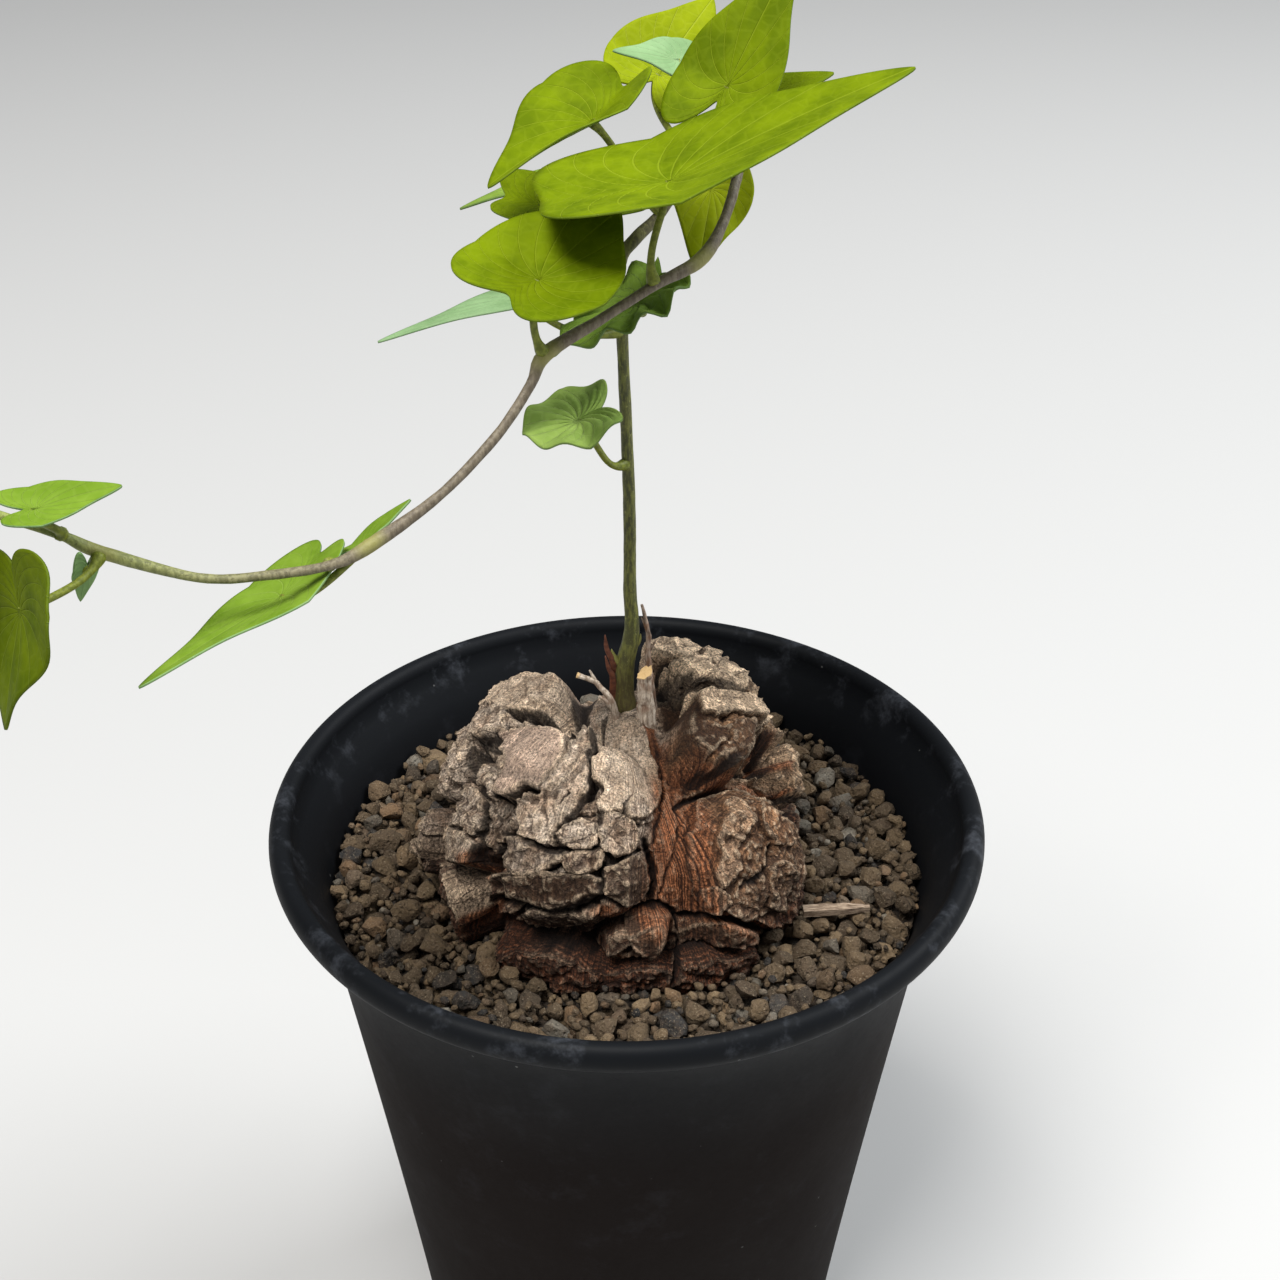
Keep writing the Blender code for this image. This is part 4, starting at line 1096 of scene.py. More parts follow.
def hollowness(mesh, rounds):
    """How deep in mm each vertex lies below its neighbours, averaged over a few rounds."""
    count = len(mesh.vertices)
    ends = np.zeros(2 * len(mesh.edges), dtype=np.int64)
    mesh.edges.foreach_get("vertices", ends)
    first, second = np.concatenate([ends[0::2], ends[1::2]]), np.concatenate([ends[1::2], ends[0::2]])
    normals = np.array([vert.normal for vert in mesh.vertices])
    neighbours = np.bincount(first, minlength=count)[:, None]
    smooth = skin_points.copy()
    for _ in range(rounds):
        sums = [np.bincount(first, weights=smooth[second, axis], minlength=count) for axis in range(3)]
        smooth = np.stack(sums, axis=1) / neighbours
    return np.einsum("ij,ij->i", smooth - skin_points, normals)


def store_regions(mesh):
    """Store on the vertices everything that the cork's material reads."""
    patch = 0.5 * noise_values(skin_directions, BLEND_SCALE, BLEND_SEED)
    weathered = sum(region(skin_directions, *spot) for spot in WEATHERED_SPOTS)
    tan = sum(region(skin_directions, *spot) for spot in TAN_SPOTS)
    # Tops with a pale tone, partly painted light, are kept from the damp colour
    dry = 0.9 * np.clip(2.0 * skin_values["tone"], 0.0, 1.0)
    values = {
        "weathered": np.clip(weathered + 0.35 * patch, 0.0, 1.0),
        "damp": below(DAMP_EDGE, patch) * (1.0 - dry),
        "pink": smooth_step(0.8, 0.2, skin_values["calm"]),
        "tan": np.clip(tan + 0.5 * patch, 0.0, 1.0),
        "low": below(LOW_EDGE, patch),
    }
    values.update(skin_values)
    values.update({name: hollowness(mesh, rounds) for name, rounds in HOLLOW_ROUNDS.items()})
    for name, numbers in values.items():
        store(mesh, name, numbers)
        print(name, "from", round(float(numbers.min()), 2), "to", round(float(numbers.max()), 2))


# %% Cork
# Each kind of cork: the two colours that it varies between
GREY_CORK = ((0.62, 0.50, 0.39), (0.33, 0.235, 0.165))
BROWN_CORK = ((0.29, 0.152, 0.076), (0.130, 0.060, 0.028))
RED_CORK = ((0.078, 0.026, 0.011), (0.345, 0.130, 0.055))
WET_CORK = ((0.030, 0.0088, 0.0040), (0.116, 0.038, 0.0160))
STAINED = (0.33, 0.195, 0.115)
PINKISH = (0.47, 0.33, 0.245)
TAN = (0.50, 0.335, 0.20)
SHADED = (0.060, 0.028, 0.013)
NEAR_SOIL = (0.098, 0.058, 0.036)
BLEACHED_AND_LIT = (0.80, 0.59, 0.40)
RUBBED_AND_HIGHLIT = (0.62, 0.47, 0.32)
DIRT_AND_SHADE = (0.028, 0.012, 0.007)
DEEP_DIRT_AND_SHADE = (0.022, 0.009, 0.005)
PITTED = (0.026, 0.012, 0.007)
CRACK_SHADE = (0.006, 0.003, 0.002)
# Each size of fissure: how many to the metre, and how strong
FISSURES = ((230.0, 1.0), (620.0, 0.35))
FISSURE_DRIFT = (0.0055, 0.0055, 0.0040)
DRIFT_SCALE = 320.0


def lines_noise(paint, value, scale):
    """Noise along one number: thin lines wherever that number changes over the surface."""
    return paint.node("ShaderNodeTexNoise", {"noise_dimensions": "1D"},
                      {"W": value, "Scale": scale, "Detail": 4.0, "Roughness": 0.7})


def fissures(paint):
    """Fine cracks in two sizes: the borders of warped Voronoi cells."""
    drift = paint.node("ShaderNodeTexNoise", None,
                       {"Vector": paint.place(), "Scale": DRIFT_SCALE, "Detail": 4.0}, output="Color")
    warped = paint.node("ShaderNodeVectorMath", {"operation": "MULTIPLY_ADD"},
                        {0: drift, 1: FISSURE_DRIFT, 2: paint.place()})
    found = sum((1.0 - paint.cells(scale, warped, "DISTANCE_TO_EDGE").step(0.015, 0.075)) * strength
                for scale, strength in FISSURES)
    return found.step(0.0, 1.0)


def grown_colour(paint, fan, streaks):
    """Weathered grey or brown, paler on top with bleaching and painted light, darker with painted shade on
    shaded faces, red in the grooves and wet near the gravel.
    """
    blotch = paint.grain(2.2, 4.0, 0.65).step(0.35, 0.68)
    stain = paint.grain(6.0, 4.0, 0.6).step(0.48, 0.66)
    tone = paint.own("tone")
    grey = paint.mix(blotch, *GREY_CORK)
    grey = paint.mix(stain * 0.45, grey, STAINED)
    grey = paint.mix(paint.own("pink") * 0.8, grey, PINKISH)
    brown = paint.mix(blotch, *BROWN_CORK)
    brown = paint.mix(paint.own("tan") * 0.85, brown, TAN)
    colour = paint.mix(paint.own("weathered").step(0.25, 0.75), brown, grey)
    # Tone paints shade on faces and low blocks, and paints tops pale: partly bleached cork, partly painted
    # light
    colour = paint.mix((tone * -1.0).step(0.0, 0.85), colour, SHADED)
    colour = paint.mix(paint.own("low") * 0.82, colour, NEAR_SOIL)
    colour = paint.mix(tone.step(0.0, 1.1), colour, BLEACHED_AND_LIT)
    red = paint.mix(fan.step(0.34, 0.64), *RED_CORK)
    colour = paint.mix((paint.own("rust") * 1.25).step(0.15, 0.85), colour, red)
    return paint.mix(paint.own("damp") * 0.92, colour, paint.mix(streaks, *WET_CORK))


def worn_colour(paint, colour, streaks, speck, fissure):
    """Edges are rubbed pale with painted highlights. Dirt and painted shade fill the hollows, dirt the
    pits and fine cracks, and painted shade the deep cracks.
    """
    fine_hollow = paint.own("hollow_fine")
    # Raised edges are made pale: partly rubbed wear, partly a painted highlight
    rubbed_and_highlit = (fine_hollow * -1.0).step(0.04, 0.22)
    rubbed_and_highlit = rubbed_and_highlit * (1.0 - paint.own("damp") * 0.7) * (1.0 - paint.own("rust") * 0.7)
    colour = paint.mix(rubbed_and_highlit * 0.42, colour, RUBBED_AND_HIGHLIT)
    shading = (0.48 + streaks * 0.86) * (1.0 + (speck - 0.5) * 5.2)
    colour = paint.mix(1.0, colour, shading, "MULTIPLY")
    # Fine and wide hollows are darkened: partly dirt, partly painted shade
    colour = paint.mix(fine_hollow.step(0.03, 0.28) * 0.7, colour, DIRT_AND_SHADE)
    colour = paint.mix(paint.own("hollow_wide").step(0.35, 1.6) * 0.6, colour, DEEP_DIRT_AND_SHADE)
    colour = paint.mix((1.0 - speck.step(0.30, 0.42)) * 0.6, colour, PITTED)
    colour = paint.mix(fissure * 0.62, colour, PITTED)
    # The deep drawn cracks are painted almost black: painted shade inside them
    return paint.mix(paint.own("crack").step(0.35, 1.0) * 0.85, colour, CRACK_SHADE)


def cork():
    """Streaks follow the layers of cork and the fans from the crown. Specks roughen them."""
    paint = Paint("cork")
    warp = paint.grain(4.0, 4.0)
    stripe = lines_noise(paint, paint.own("layer") + warp * 0.9, 2.6)
    fan = lines_noise(paint, paint.own("fan") * 1.7 + warp * 0.35, 1.0)
    streaks = (stripe * 0.55 + fan * 0.45).step(0.38, 0.62)
    speck = paint.grain(0.36, 3.0, 0.85)
    fissure = fissures(paint) * (1.0 - paint.own("calm") * 0.9) * (1.0 - paint.own("rust") * 0.8)
    colour = grown_colour(paint, fan, streaks)
    colour = worn_colour(paint, colour, streaks, speck, fissure)
    normal = paint.bump(streaks * 0.5 + speck * 0.8 - fissure * 0.8, 0.45, 1.0)
    return paint.surface(colour, 0.78, normal, Specular_IOR_Level=0.25)


caudex = add_piece("corky_caudex", caudex_bm, cork(), ["caudex"])
store_regions(caudex.data)

# %% [markdown]
# ## Gravel: how it lies
#
# The pot is filled with baked clay and lava grit of mixed sizes. Stones scattered at random would
# float or sink into each other, so they are dropped one at a time, as real ones are poured. Each
# falls until it touches what already lies there, and of a dozen places tried the lowest is kept.
# Deeper down nobody can see single stones, so a dark solid fill carries the top layers.

# %% Drop the stones
SOIL_MOUND = 1.2
SOIL_INNER = 20.0
SOIL_OUTER = 50.0
GAP = 0.3
BED_Z = 111.0
STONE_TRIES = 12
STONE_MISSES = 60
STONE_PRESS = 0.84
STONE_SPREAD = 0.30
STONE_SHOWS = 0.75
DROP_RING = (18.0, 53.0)
# How near a stone's middle may come, in its radii, to the pot, to the caudex and to the chip
POT_NEAR = 0.92
CAUDEX_NEAR = 0.72
CHIP_NEAR = 0.7
CHIP_PLACE = (34.4, -17.2, 118.4)
CHIP_CLEAR = (6.5, 2.5, 0.7)


def gravel_top(x, y):
    """Mean top of the gravel: a low mound round the caudex."""
    rise = 1.0 - (math.hypot(x, y) - SOIL_INNER) / (SOIL_OUTER - SOIL_INNER)
    return SOIL_Z + SOIL_MOUND * max(0.0, rise)


def rest_height(stones, x, y, radius):
    """Height at which a stone dropped at x, y first touches what lies there."""
    away = np.hypot(stones[:, 0] - x, stones[:, 1] - y)
    reach = STONE_PRESS * (stones[:, 3] + radius)
    under = away < reach
    tops = stones[under, 2] + np.sqrt(reach[under] ** 2 - away[under] ** 2)
    return max(BED_Z + radius / 2, tops.max(initial=0.0))


def has_room(tree, x, y, z, radius):
    """Whether a stone fits between the pot and the caudex, and below the bark chip."""
    if math.hypot(x, y) + POT_NEAR * radius > wall_radius(z) - WALL:
        return False
    near_chip = abs(x - CHIP_PLACE[0]) < CHIP_CLEAR[0] and abs(y - CHIP_PLACE[1]) < CHIP_CLEAR[1]
    if near_chip and z + CHIP_NEAR * radius > CHIP_PLACE[2] - CHIP_CLEAR[2]:
        return False
    middle = Vector((x, y, z)) * MM
    spot, normal, _, away = tree.find_nearest(middle)
    return (middle - spot).dot(normal) > 0 and away > CAUDEX_NEAR * radius * MM


def random_place(rng):
    """A place on the ring between the caudex and the pot, with the same chance everywhere."""
    inner, outer = DROP_RING
    turn, reach = rng.uniform(0.0, math.tau), math.sqrt(rng.uniform(inner ** 2, outer ** 2))
    return reach * math.cos(turn), reach * math.sin(turn)


def drop_stones(rng, tree, stones, sizes, over):
    """Drop stones until they reach the top of the gravel. Each row is x, y, z, radius."""
    smallest, usual, largest = sizes
    misses = 0
    while misses < STONE_MISSES:
        radius = min(max(rng.lognormvariate(math.log(usual), STONE_SPREAD), smallest), largest)
        places = []
        for _ in range(STONE_TRIES):
            x, y = random_place(rng)
            z = rest_height(stones, x, y, radius)
            if z + STONE_SHOWS * radius < gravel_top(x, y) + over and has_room(tree, x, y, z, radius):
                places.append((z, x, y))
        if not places:
            misses += 1
            continue
        z, x, y = min(places)
        stones = np.vstack([stones, (x, y, z, radius)])
    return stones


# Smallest, usual and largest radius, and how far each kind may stand over the gravel's top, in mm
STONE_SIZES = (0.85, 1.42, 2.3)
STONE_OVER = 1.1
GRIT_SIZES = (0.45, 0.68, 0.85)
GRIT_OVER = 0.1
STONE_SEED = 11
skin_tree = BVHTree.FromPolygons([vert.co for vert in caudex.data.vertices],
                                 [face.vertices[:] for face in caudex.data.polygons])
rng = random.Random(STONE_SEED)
stones = drop_stones(rng, skin_tree, np.zeros((0, 4)), STONE_SIZES, STONE_OVER)
with_grit = drop_stones(rng, skin_tree, stones, GRIT_SIZES, GRIT_OVER)
grit = with_grit[len(stones):]
print("stones:", len(stones), "grit:", len(grit))

# %% [markdown]
# A worn stone is a ball that has lost slices: each slice flattens a side, and the little left of
# the roundness is the wear. Two dozen such shapes, turned every way, are enough for a thousand
# stones. Each keeps to a few dozen faces, because the bump in its material gives it its grain.

# %% Shape the stones
STONE_SHAPES = 24
STONE_SLICES = 11
# How far from the middle a slice is cut off, and how much of what lies outside it goes
SLICE_DEPTHS = (0.55, 0.85)
SLICE_WEAR = 0.93
STONE_LUMP = 0.16
LUMP_SCALE = 1.7
STONE_STRETCHES = ((1.15, 1.5), (0.9, 1.2), (0.8, 1.0))
STONE_TILT = 0.5


def stone_mesh(seed, subdivisions):
    """A worn stone with a radius of about 1."""
    rng = random.Random(seed)
    bm = bmesh.new()
    bmesh.ops.create_icosphere(bm, subdivisions=subdivisions, radius=1.0)
    for _ in range(STONE_SLICES):
        facing = Vector((rng.gauss(0, 1), rng.gauss(0, 1), rng.gauss(0, 1))).normalized()
        depth = rng.uniform(*SLICE_DEPTHS)
        for vert in bm.verts:
            over = vert.co.dot(facing) - depth
            vert.co -= facing * max(over, 0.0) * SLICE_WEAR
    for vert in bm.verts:
        lump = noise.noise(vert.co * LUMP_SCALE + Vector((seed, 0.0, 0.0)))
        vert.co *= 1.0 + STONE_LUMP * lump
    bmesh.ops.scale(bm, verts=bm.verts, vec=[rng.uniform(*stretch) for stretch in STONE_STRETCHES])
    return mesh_of(bm, "stone_shape")


def pile(name, rows, subdivisions, material, stands_for=(), sharp=None):
    """All the stones of a pile as one piece, each with a shade and a tint of its own."""
    rng = random.Random(len(rows))
    shapes = [stone_mesh(seed, subdivisions) for seed in range(STONE_SHAPES)]
    bm = bmesh.new()
    for x, y, z, radius in rows:
        tilt, roll = rng.gauss(0.0, STONE_TILT), rng.gauss(0.0, STONE_TILT)
        turn = Euler((tilt, roll, rng.uniform(0.0, math.tau)))
        place = Matrix.LocRotScale(Vector((x, y, z)) * MM, turn, Vector((radius, radius, radius)) * MM)
        shape = rng.choice(shapes).copy()
        shape.transform(place)
        bm.from_mesh(shape)
        bpy.data.meshes.remove(shape)
    each = len(shapes[0].vertices)
    piece = add_piece(name, bm, material, stands_for, sharp)
    store(piece.data, "shade", np.repeat([rng.random() for _ in rows], each))
    store(piece.data, "tint", np.repeat([rng.random() for _ in rows], each))


# %% Gravel material
# Colours of the stones from lava black over clay brown to pale grey, and how light each may be
STONE_TINTS = ((0.0, (0.034, 0.034, 0.036)), (0.07, (0.045, 0.043, 0.042)), (0.12, (0.095, 0.070, 0.046)),
               (0.45, (0.165, 0.118, 0.070)), (0.75, (0.215, 0.155, 0.092)), (0.90, (0.20, 0.125, 0.070)),
               (0.95, (0.20, 0.185, 0.155)), (1.0, (0.31, 0.29, 0.25)))
STONE_SHADES = ((0.0, (0.34, 0.32, 0.30)), (1.0, (0.84, 0.80, 0.74)))
STONE_BLOTCH = (0.085, 0.055, 0.034)
PALE_GRAIN = (0.36, 0.29, 0.20)
DARK_PORE = (0.022, 0.016, 0.012)
PORE_SCALE = 1100.0


def gravel():
    """Each stone has its own tint and shade. Pale grains and dark pores cover them all."""
    paint = Paint("gravel")
    tint = paint.node("ShaderNodeValToRGB", {"stops": STONE_TINTS}, {"Fac": paint.own("tint")})
    shade = paint.node("ShaderNodeValToRGB", {"stops": STONE_SHADES}, {"Fac": paint.own("shade")})
    colour = paint.mix(1.0, tint, shade, "MULTIPLY")
    blotch = paint.grain(1.6, 3.0, 0.6)
    colour = paint.mix(blotch.step(0.40, 0.70) * 0.45, colour, STONE_BLOTCH)
    grains = paint.grain(0.32, 3.0, 0.75)
    colour = paint.mix(grains.step(0.56, 0.70) * 0.55, colour, PALE_GRAIN)
    colour = paint.mix((1.0 - grains.step(0.30, 0.44)) * 0.65, colour, DARK_PORE)
    pits = paint.cells(PORE_SCALE)
    normal = paint.bump(grains * 0.8 + pits.step(0.1, 0.5) * 0.6, 0.42, 1.0)
    normal = paint.bump(blotch, 0.8, 0.6, normal)
    return paint.surface(colour, 0.88, normal, Specular_IOR_Level=0.3)


gravel_finish = gravel()
pile("gravel_stones", stones, 2, gravel_finish, ["soil"], sharp=34)
pile("gravel_grit", grit, 1, gravel_finish)

# %% Dark fill below the stones
FILL_TURNS = 96
FILL_RINGS = 16
FILL_LEVELS = 12
FILL_Z = BED_Z + 1.0
FILL_LUMP = 0.8
FILL_LUMP_SIZE = 2.5
FILL_BROWNS = ((0.012, 0.009, 0.007), (0.075, 0.052, 0.033))


def make_fill():
    """The fill's outline is turned round, and its top gets the lumps of grit."""
    side = [(wall_radius(z) - WALL - GAP, z) for z in np.linspace(FLOOR + GAP, FILL_Z, FILL_LEVELS)]
    top = [(radius, FILL_Z) for radius in np.linspace(side[-1][0], 0.0, FILL_RINGS)[1:]]
    bm = spun([(0.0, FLOOR + GAP)] + side + top, FILL_TURNS)
    for vert in bm.verts:
        if vert.co.z > (FILL_Z - GAP) * MM:
            vert.co.z += FILL_LUMP * MM * noise.noise(vert.co / (FILL_LUMP_SIZE * MM))
    finish = grained("dark_fill", (0.9, 4.0, 0.7), FILL_BROWNS, 0.95, 0.8, (0.35, 0.70))
    add_piece("gravel_fill", bm, finish, ["soil"])


make_fill()

# %% [markdown]
# ## Stem and vine
#
# The stem climbs straight out of the crown, turns over at its top and becomes a trailing vine. A
# ring of edges is drawn along the curve, one extrusion at a time, and each new ring is carried
# from the last one's place to its own by a matrix. The ring's thickness changes on the way, so the
# swollen nodes where petioles grow come out of the same sweep.

# %% Sweep a ring along a curve
# Each point of the stem's middle line, with the stem's radius there, in mm
STEM_POINTS = (
    ((-0.3, 2.0, 142.5), 2.0), ((-0.3, 2.0, 146.0), 1.95), ((-0.4, 2.0, 149.0), 1.62),
    ((-0.2, 2.0, 154.0), 1.52), ((0.7, 2.0, 158.5), 1.35), ((0.9, 2.0, 162.3), 1.15),
    ((0.6, 2.0, 168.0), 1.05),
    ((0.6, 2.0, 178.0), 1.0), ((0.4, 2.0, 189.1), 0.95), ((-0.4, 2.0, 211.8), 0.85),
    ((-0.6, 2.2, 221.8), 0.85), ((1.6, 3.2, 225.2), 0.9), ((5.3, 5.5, 228.3), 0.75),
    ((9.2, 5.1, 235.2), 0.7), ((12.0, 1.1, 240.2), 0.7), ((14.9, -5.3, 241.2), 0.7),
    ((15.1, -10.2, 239.1), 0.7), ((12.9, -16.8, 234.2), 0.7), ((9.9, -21.2, 231.0), 0.95),
    ((4.1, -24.8, 229.0), 0.68), ((-2.9, -28.1, 225.6), 0.68), ((-9.8, -31.4, 222.3), 0.98),
    ((-11.7, -33.5, 219.0), 0.68), ((-15.8, -37.7, 214.1), 0.66), ((-22.9, -42.7, 208.2), 0.64),
    ((-31.4, -47.8, 203.8), 0.9), ((-36.0, -50.8, 202.7), 0.64), ((-43.0, -53.2, 202.7), 0.62),
    ((-51.1, -55.1, 203.4), 0.60), ((-62.0, -56.9, 208.0), 0.82), ((-66.1, -57.6, 210.7), 0.60),
    ((-72.5, -58.1, 213.6), 0.56), ((-79.0, -59.0, 217.5), 0.66), ((-85.0, -58.0, 223.0), 0.48),
    ((-88.0, -55.0, 230.0), 0.34),
)
STEM_STEP = 0.8
STEM_SIDES = 16


def ring_places(rows, flatten=1.0):
    """A matrix for each row of x, y, z and radius, turned as little as the curve allows."""
    side = Vector((1.0, 0.0, 0.0))
    places = []
    for index, row in enumerate(rows):
        before, after = rows[max(index - 1, 0)], rows[min(index + 1, len(rows) - 1)]
        ahead = Vector(after[:3] - before[:3]).normalized()
        side = (side - ahead * side.dot(ahead)).normalized()
        turn = Matrix((side, ahead.cross(side), ahead)).transposed()
        size = Vector((row[3], row[3] * flatten, row[3])) * MM
        places.append(Matrix.LocRotScale(Vector(row[:3]) * MM, turn, size))
    return places


def sweep(bm, rows, sides, flatten=1.0):
    """Draw a ring along the rows and close both ends. Returns the new verts, ring by ring."""
    places = ring_places(rows, flatten)
    ring = bmesh.ops.create_circle(bm, segments=sides, radius=1.0, matrix=places[0])["verts"]
    edges = list({edge for vert in ring for edge in vert.link_edges})
    first_edges = edges
    verts = list(ring)
    for before, place in zip(places, places[1:]):
        grown = bmesh.ops.extrude_edge_only(bm, edges=edges)["geom"]
        edges = [item for item in grown if isinstance(item, bmesh.types.BMEdge) and item.is_boundary]
        ring = [item for item in grown if isinstance(item, bmesh.types.BMVert)]
        bmesh.ops.transform(bm, matrix=place @ before.inverted(), verts=ring)
        verts += ring
    for end in (first_edges, edges):
        bmesh.ops.contextual_create(bm, geom=end)
    return verts


def along(rows):
    """Length in mm from the start to each row."""
    steps = [np.linalg.norm(after[:3] - before[:3]) for before, after in zip(rows, rows[1:])]
    return np.concatenate([[0.0], np.cumsum(steps)])


stem_rows = catmull_rom(STEM_POINTS, STEM_STEP)
print("stem length in mm:", round(along(stem_rows)[-1]))

# %% Stem skin
# Each stretch of the stem: the two colours that it varies between
UPRIGHT_SKIN = ((0.054, 0.058, 0.012), (0.160, 0.167, 0.030))
VINE_SKIN = ((0.105, 0.082, 0.052), (0.20, 0.165, 0.112))
YOUNG_SKIN = ((0.16, 0.20, 0.035), (0.28, 0.33, 0.07))
PALE_FLECK = (0.30, 0.30, 0.09)
DARK_FLECK = (0.030, 0.024, 0.009)
FOOT_SKIN = (0.050, 0.029, 0.011)
NODE_SKIN = (0.27, 0.26, 0.065)
# Lengths along the stem in mm over which one skin turns into the next
FOOT_ENDS = (2.0, 22.0)
VINE_BEGINS = (72.0, 102.0)
YOUNG_BEGINS = (185.0, 245.0)
STREAK_STRETCH = (1.0, 1.0, 0.22)


def stem_skin():
    """Olive and speckled where it stands, greyer along the vine, yellow green at its tip."""
    paint = Paint("stem_skin")
    run = paint.own("along")
    fleck = paint.grain(0.55, 3.0, 0.7)
    streaks = paint.grain(0.5, 3.0, 0.6, paint.stretched(STREAK_STRETCH))
    upright = paint.mix(streaks.step(0.38, 0.64), *UPRIGHT_SKIN)
    vine = paint.mix(streaks.step(0.35, 0.70), *VINE_SKIN)
    young = paint.mix(streaks.step(0.4, 0.6), *YOUNG_SKIN)
    trailing = run.step(*VINE_BEGINS)
    colour = paint.mix(trailing, upright, vine)
    colour = paint.mix(run.step(*YOUNG_BEGINS), colour, young)
    colour = paint.mix(fleck.step(0.58, 0.70) * 0.7 * (1.0 - trailing), colour, PALE_FLECK)
    colour = paint.mix((1.0 - fleck.step(0.30, 0.42)) * 0.6, colour, DARK_FLECK)
    colour = paint.mix((1.0 - run.step(*FOOT_ENDS)) * (0.45 + fleck * 0.5), colour, FOOT_SKIN)
    colour = paint.mix(paint.own("node") * 0.75, colour, NODE_SKIN)
    normal = paint.bump(fleck * 0.6 + streaks * 0.6, 0.16, 0.8)
    return paint.surface(colour, 0.50 + fleck * 0.2, normal)


NODE_PLACES = ((9.9, -21.2, 231.0), (-9.8, -31.4, 222.3), (-31.4, -47.8, 203.8), (-62.0, -56.9, 208.0),
               (-79.0, -59.0, 217.5), (-0.5, 2.0, 216.0), (9.2, 5.1, 235.2))
NODE_FROM = 0.5
NODE_REACH = 2.6
# Each bud: points of its middle line and its radius there, in mm
BUDS = (
    (((-1.1, 1.7, 154.2), 0.50), ((-1.8, 1.5, 155.3), 0.52), ((-2.2, 1.4, 156.3), 0.34),
     ((-2.4, 1.4, 157.2), 0.08)),
    (((1.4, 2.0, 157.4), 0.50), ((1.9, 1.9, 158.4), 0.46), ((2.2, 1.9, 159.1), 0.28),
     ((2.3, 1.9, 159.8), 0.06)),
)
BUD_STEP = 0.3
BUD_SIDES = 10
BUDS_ALONG = 20.0
STEM_WAVES = ((1.9, 0.05), (5.0, 0.05))


def make_stem():
    """The stem and the vine as one piece, with the buds at its foot."""
    bm = bmesh.new()
    verts = sweep(bm, stem_rows, STEM_SIDES)
    bm.normal_update()
    roughen(verts, STEM_WAVES)
    for points in BUDS:
        sweep(bm, catmull_rom(points, BUD_STEP), BUD_SIDES)
    run = np.repeat(along(stem_rows), STEM_SIDES)
    near = [min(np.linalg.norm(row[:3] - np.array(place)) for place in NODE_PLACES) for row in stem_rows]
    node = np.repeat(1.0 - smooth_step(NODE_FROM, NODE_REACH, np.array(near)), STEM_SIDES)
    bmesh.ops.recalc_face_normals(bm, faces=bm.faces)
    piece = add_piece("fine_stem", bm, stem_skin(), ["stem"])
    in_buds = len(piece.data.vertices) - len(run)
    store(piece.data, "along", np.concatenate([run, np.full(in_buds, BUDS_ALONG)]))
    store(piece.data, "node", np.concatenate([node, np.ones(in_buds)]))


make_stem()

# %% [markdown]
# ## Leaves: shape
#
# Each leaf is heart shaped, with its petiole in the notch. Round that point a blade is a curve in
# polar form: a body, a drawn out tip and a sinus. A ring of edges grows outwards from the
# petiole, and every new vertex is placed by its angle and by how far out it is. The blade then
# folds along its midrib, arches, and waves at its edge, and it bulges a little between its veins.

# %% Blade
PETIOLE_RADIUS = 0.65
OUTLINE_BODY = 0.56
TIP_SPREAD = 17.0
TIP_POWER = 1.3
SINUS_SPREAD = 24.0
LOBE_LIFT = 0.3
BLADE_TURNS = 120
BLADE_RINGS = 15
BLADE_THICK = 0.32
# How strongly the vertices crowd towards the tip and the sinus, and towards the edge
TURN_CROWDING = 0.28
RING_CROWDING = 0.9
VEIN_TURN = 27.0
VEIN_CURVE = 0.36
# How flat the pads between the veins are across, and how far out they reach
PAD_FLATNESS = 0.7
PAD_REACH = 1.05
PAD_RISE = 0.6


def leaf_outline(turn, tip, sinus):
    """Edge of the heart-shaped blade, in blade lengths, at an angle from the tip."""
    degrees = abs(math.degrees(math.remainder(turn, math.tau)))
    point = tip * math.exp(-(degrees / TIP_SPREAD) ** TIP_POWER)
    notch = sinus * math.exp(-((180.0 - degrees) / SINUS_SPREAD) ** 2)
    return OUTLINE_BODY + point - notch


def vein_count(turn, part):
    """How many veins from the midrib a place is. Whole numbers lie on a vein."""
    return math.degrees(turn) / (VEIN_TURN * (1.0 - VEIN_CURVE * part))


def blade_point(turn, part, length, width, fold, arch, wave, waves, bulge, tip, sinus):
    """A place on the flat leaf: along the midrib, across it and up from it."""
    reach = PETIOLE_RADIUS + part * (leaf_outline(turn, tip, sinus) * length - PETIOLE_RADIUS)
    ahead = reach * math.cos(turn)
    across = reach * math.sin(turn) * width
    lift = fold * (math.hypot(across, 1.0) - 1.0)
    lift += arch * max(ahead, 0.0) * (1.0 - ahead / length)
    lift += LOBE_LIFT * max(-ahead, 0.0)
    lift += wave * part ** 2 * math.sin(waves * turn)
    pad = abs(math.sin(math.pi * vein_count(turn, part))) ** PAD_FLATNESS
    lift += bulge * length * pad * math.sin(math.pi * min(part * PAD_REACH, 1.0)) ** PAD_RISE
    return Vector((ahead, across, lift))


def blade_turns():
    """Angles round the blade, closer together towards its tip and its sinus."""
    turns = []
    for index in range(BLADE_TURNS):
        t = index / BLADE_TURNS * math.tau
        turns.append(math.remainder(t - TURN_CROWDING * math.sin(2.0 * t), math.tau))
    return turns


def wrapped(turn, middle):
    """The same angle, within half a turn of a middle one."""
    return middle + math.remainder(turn - middle, math.tau)


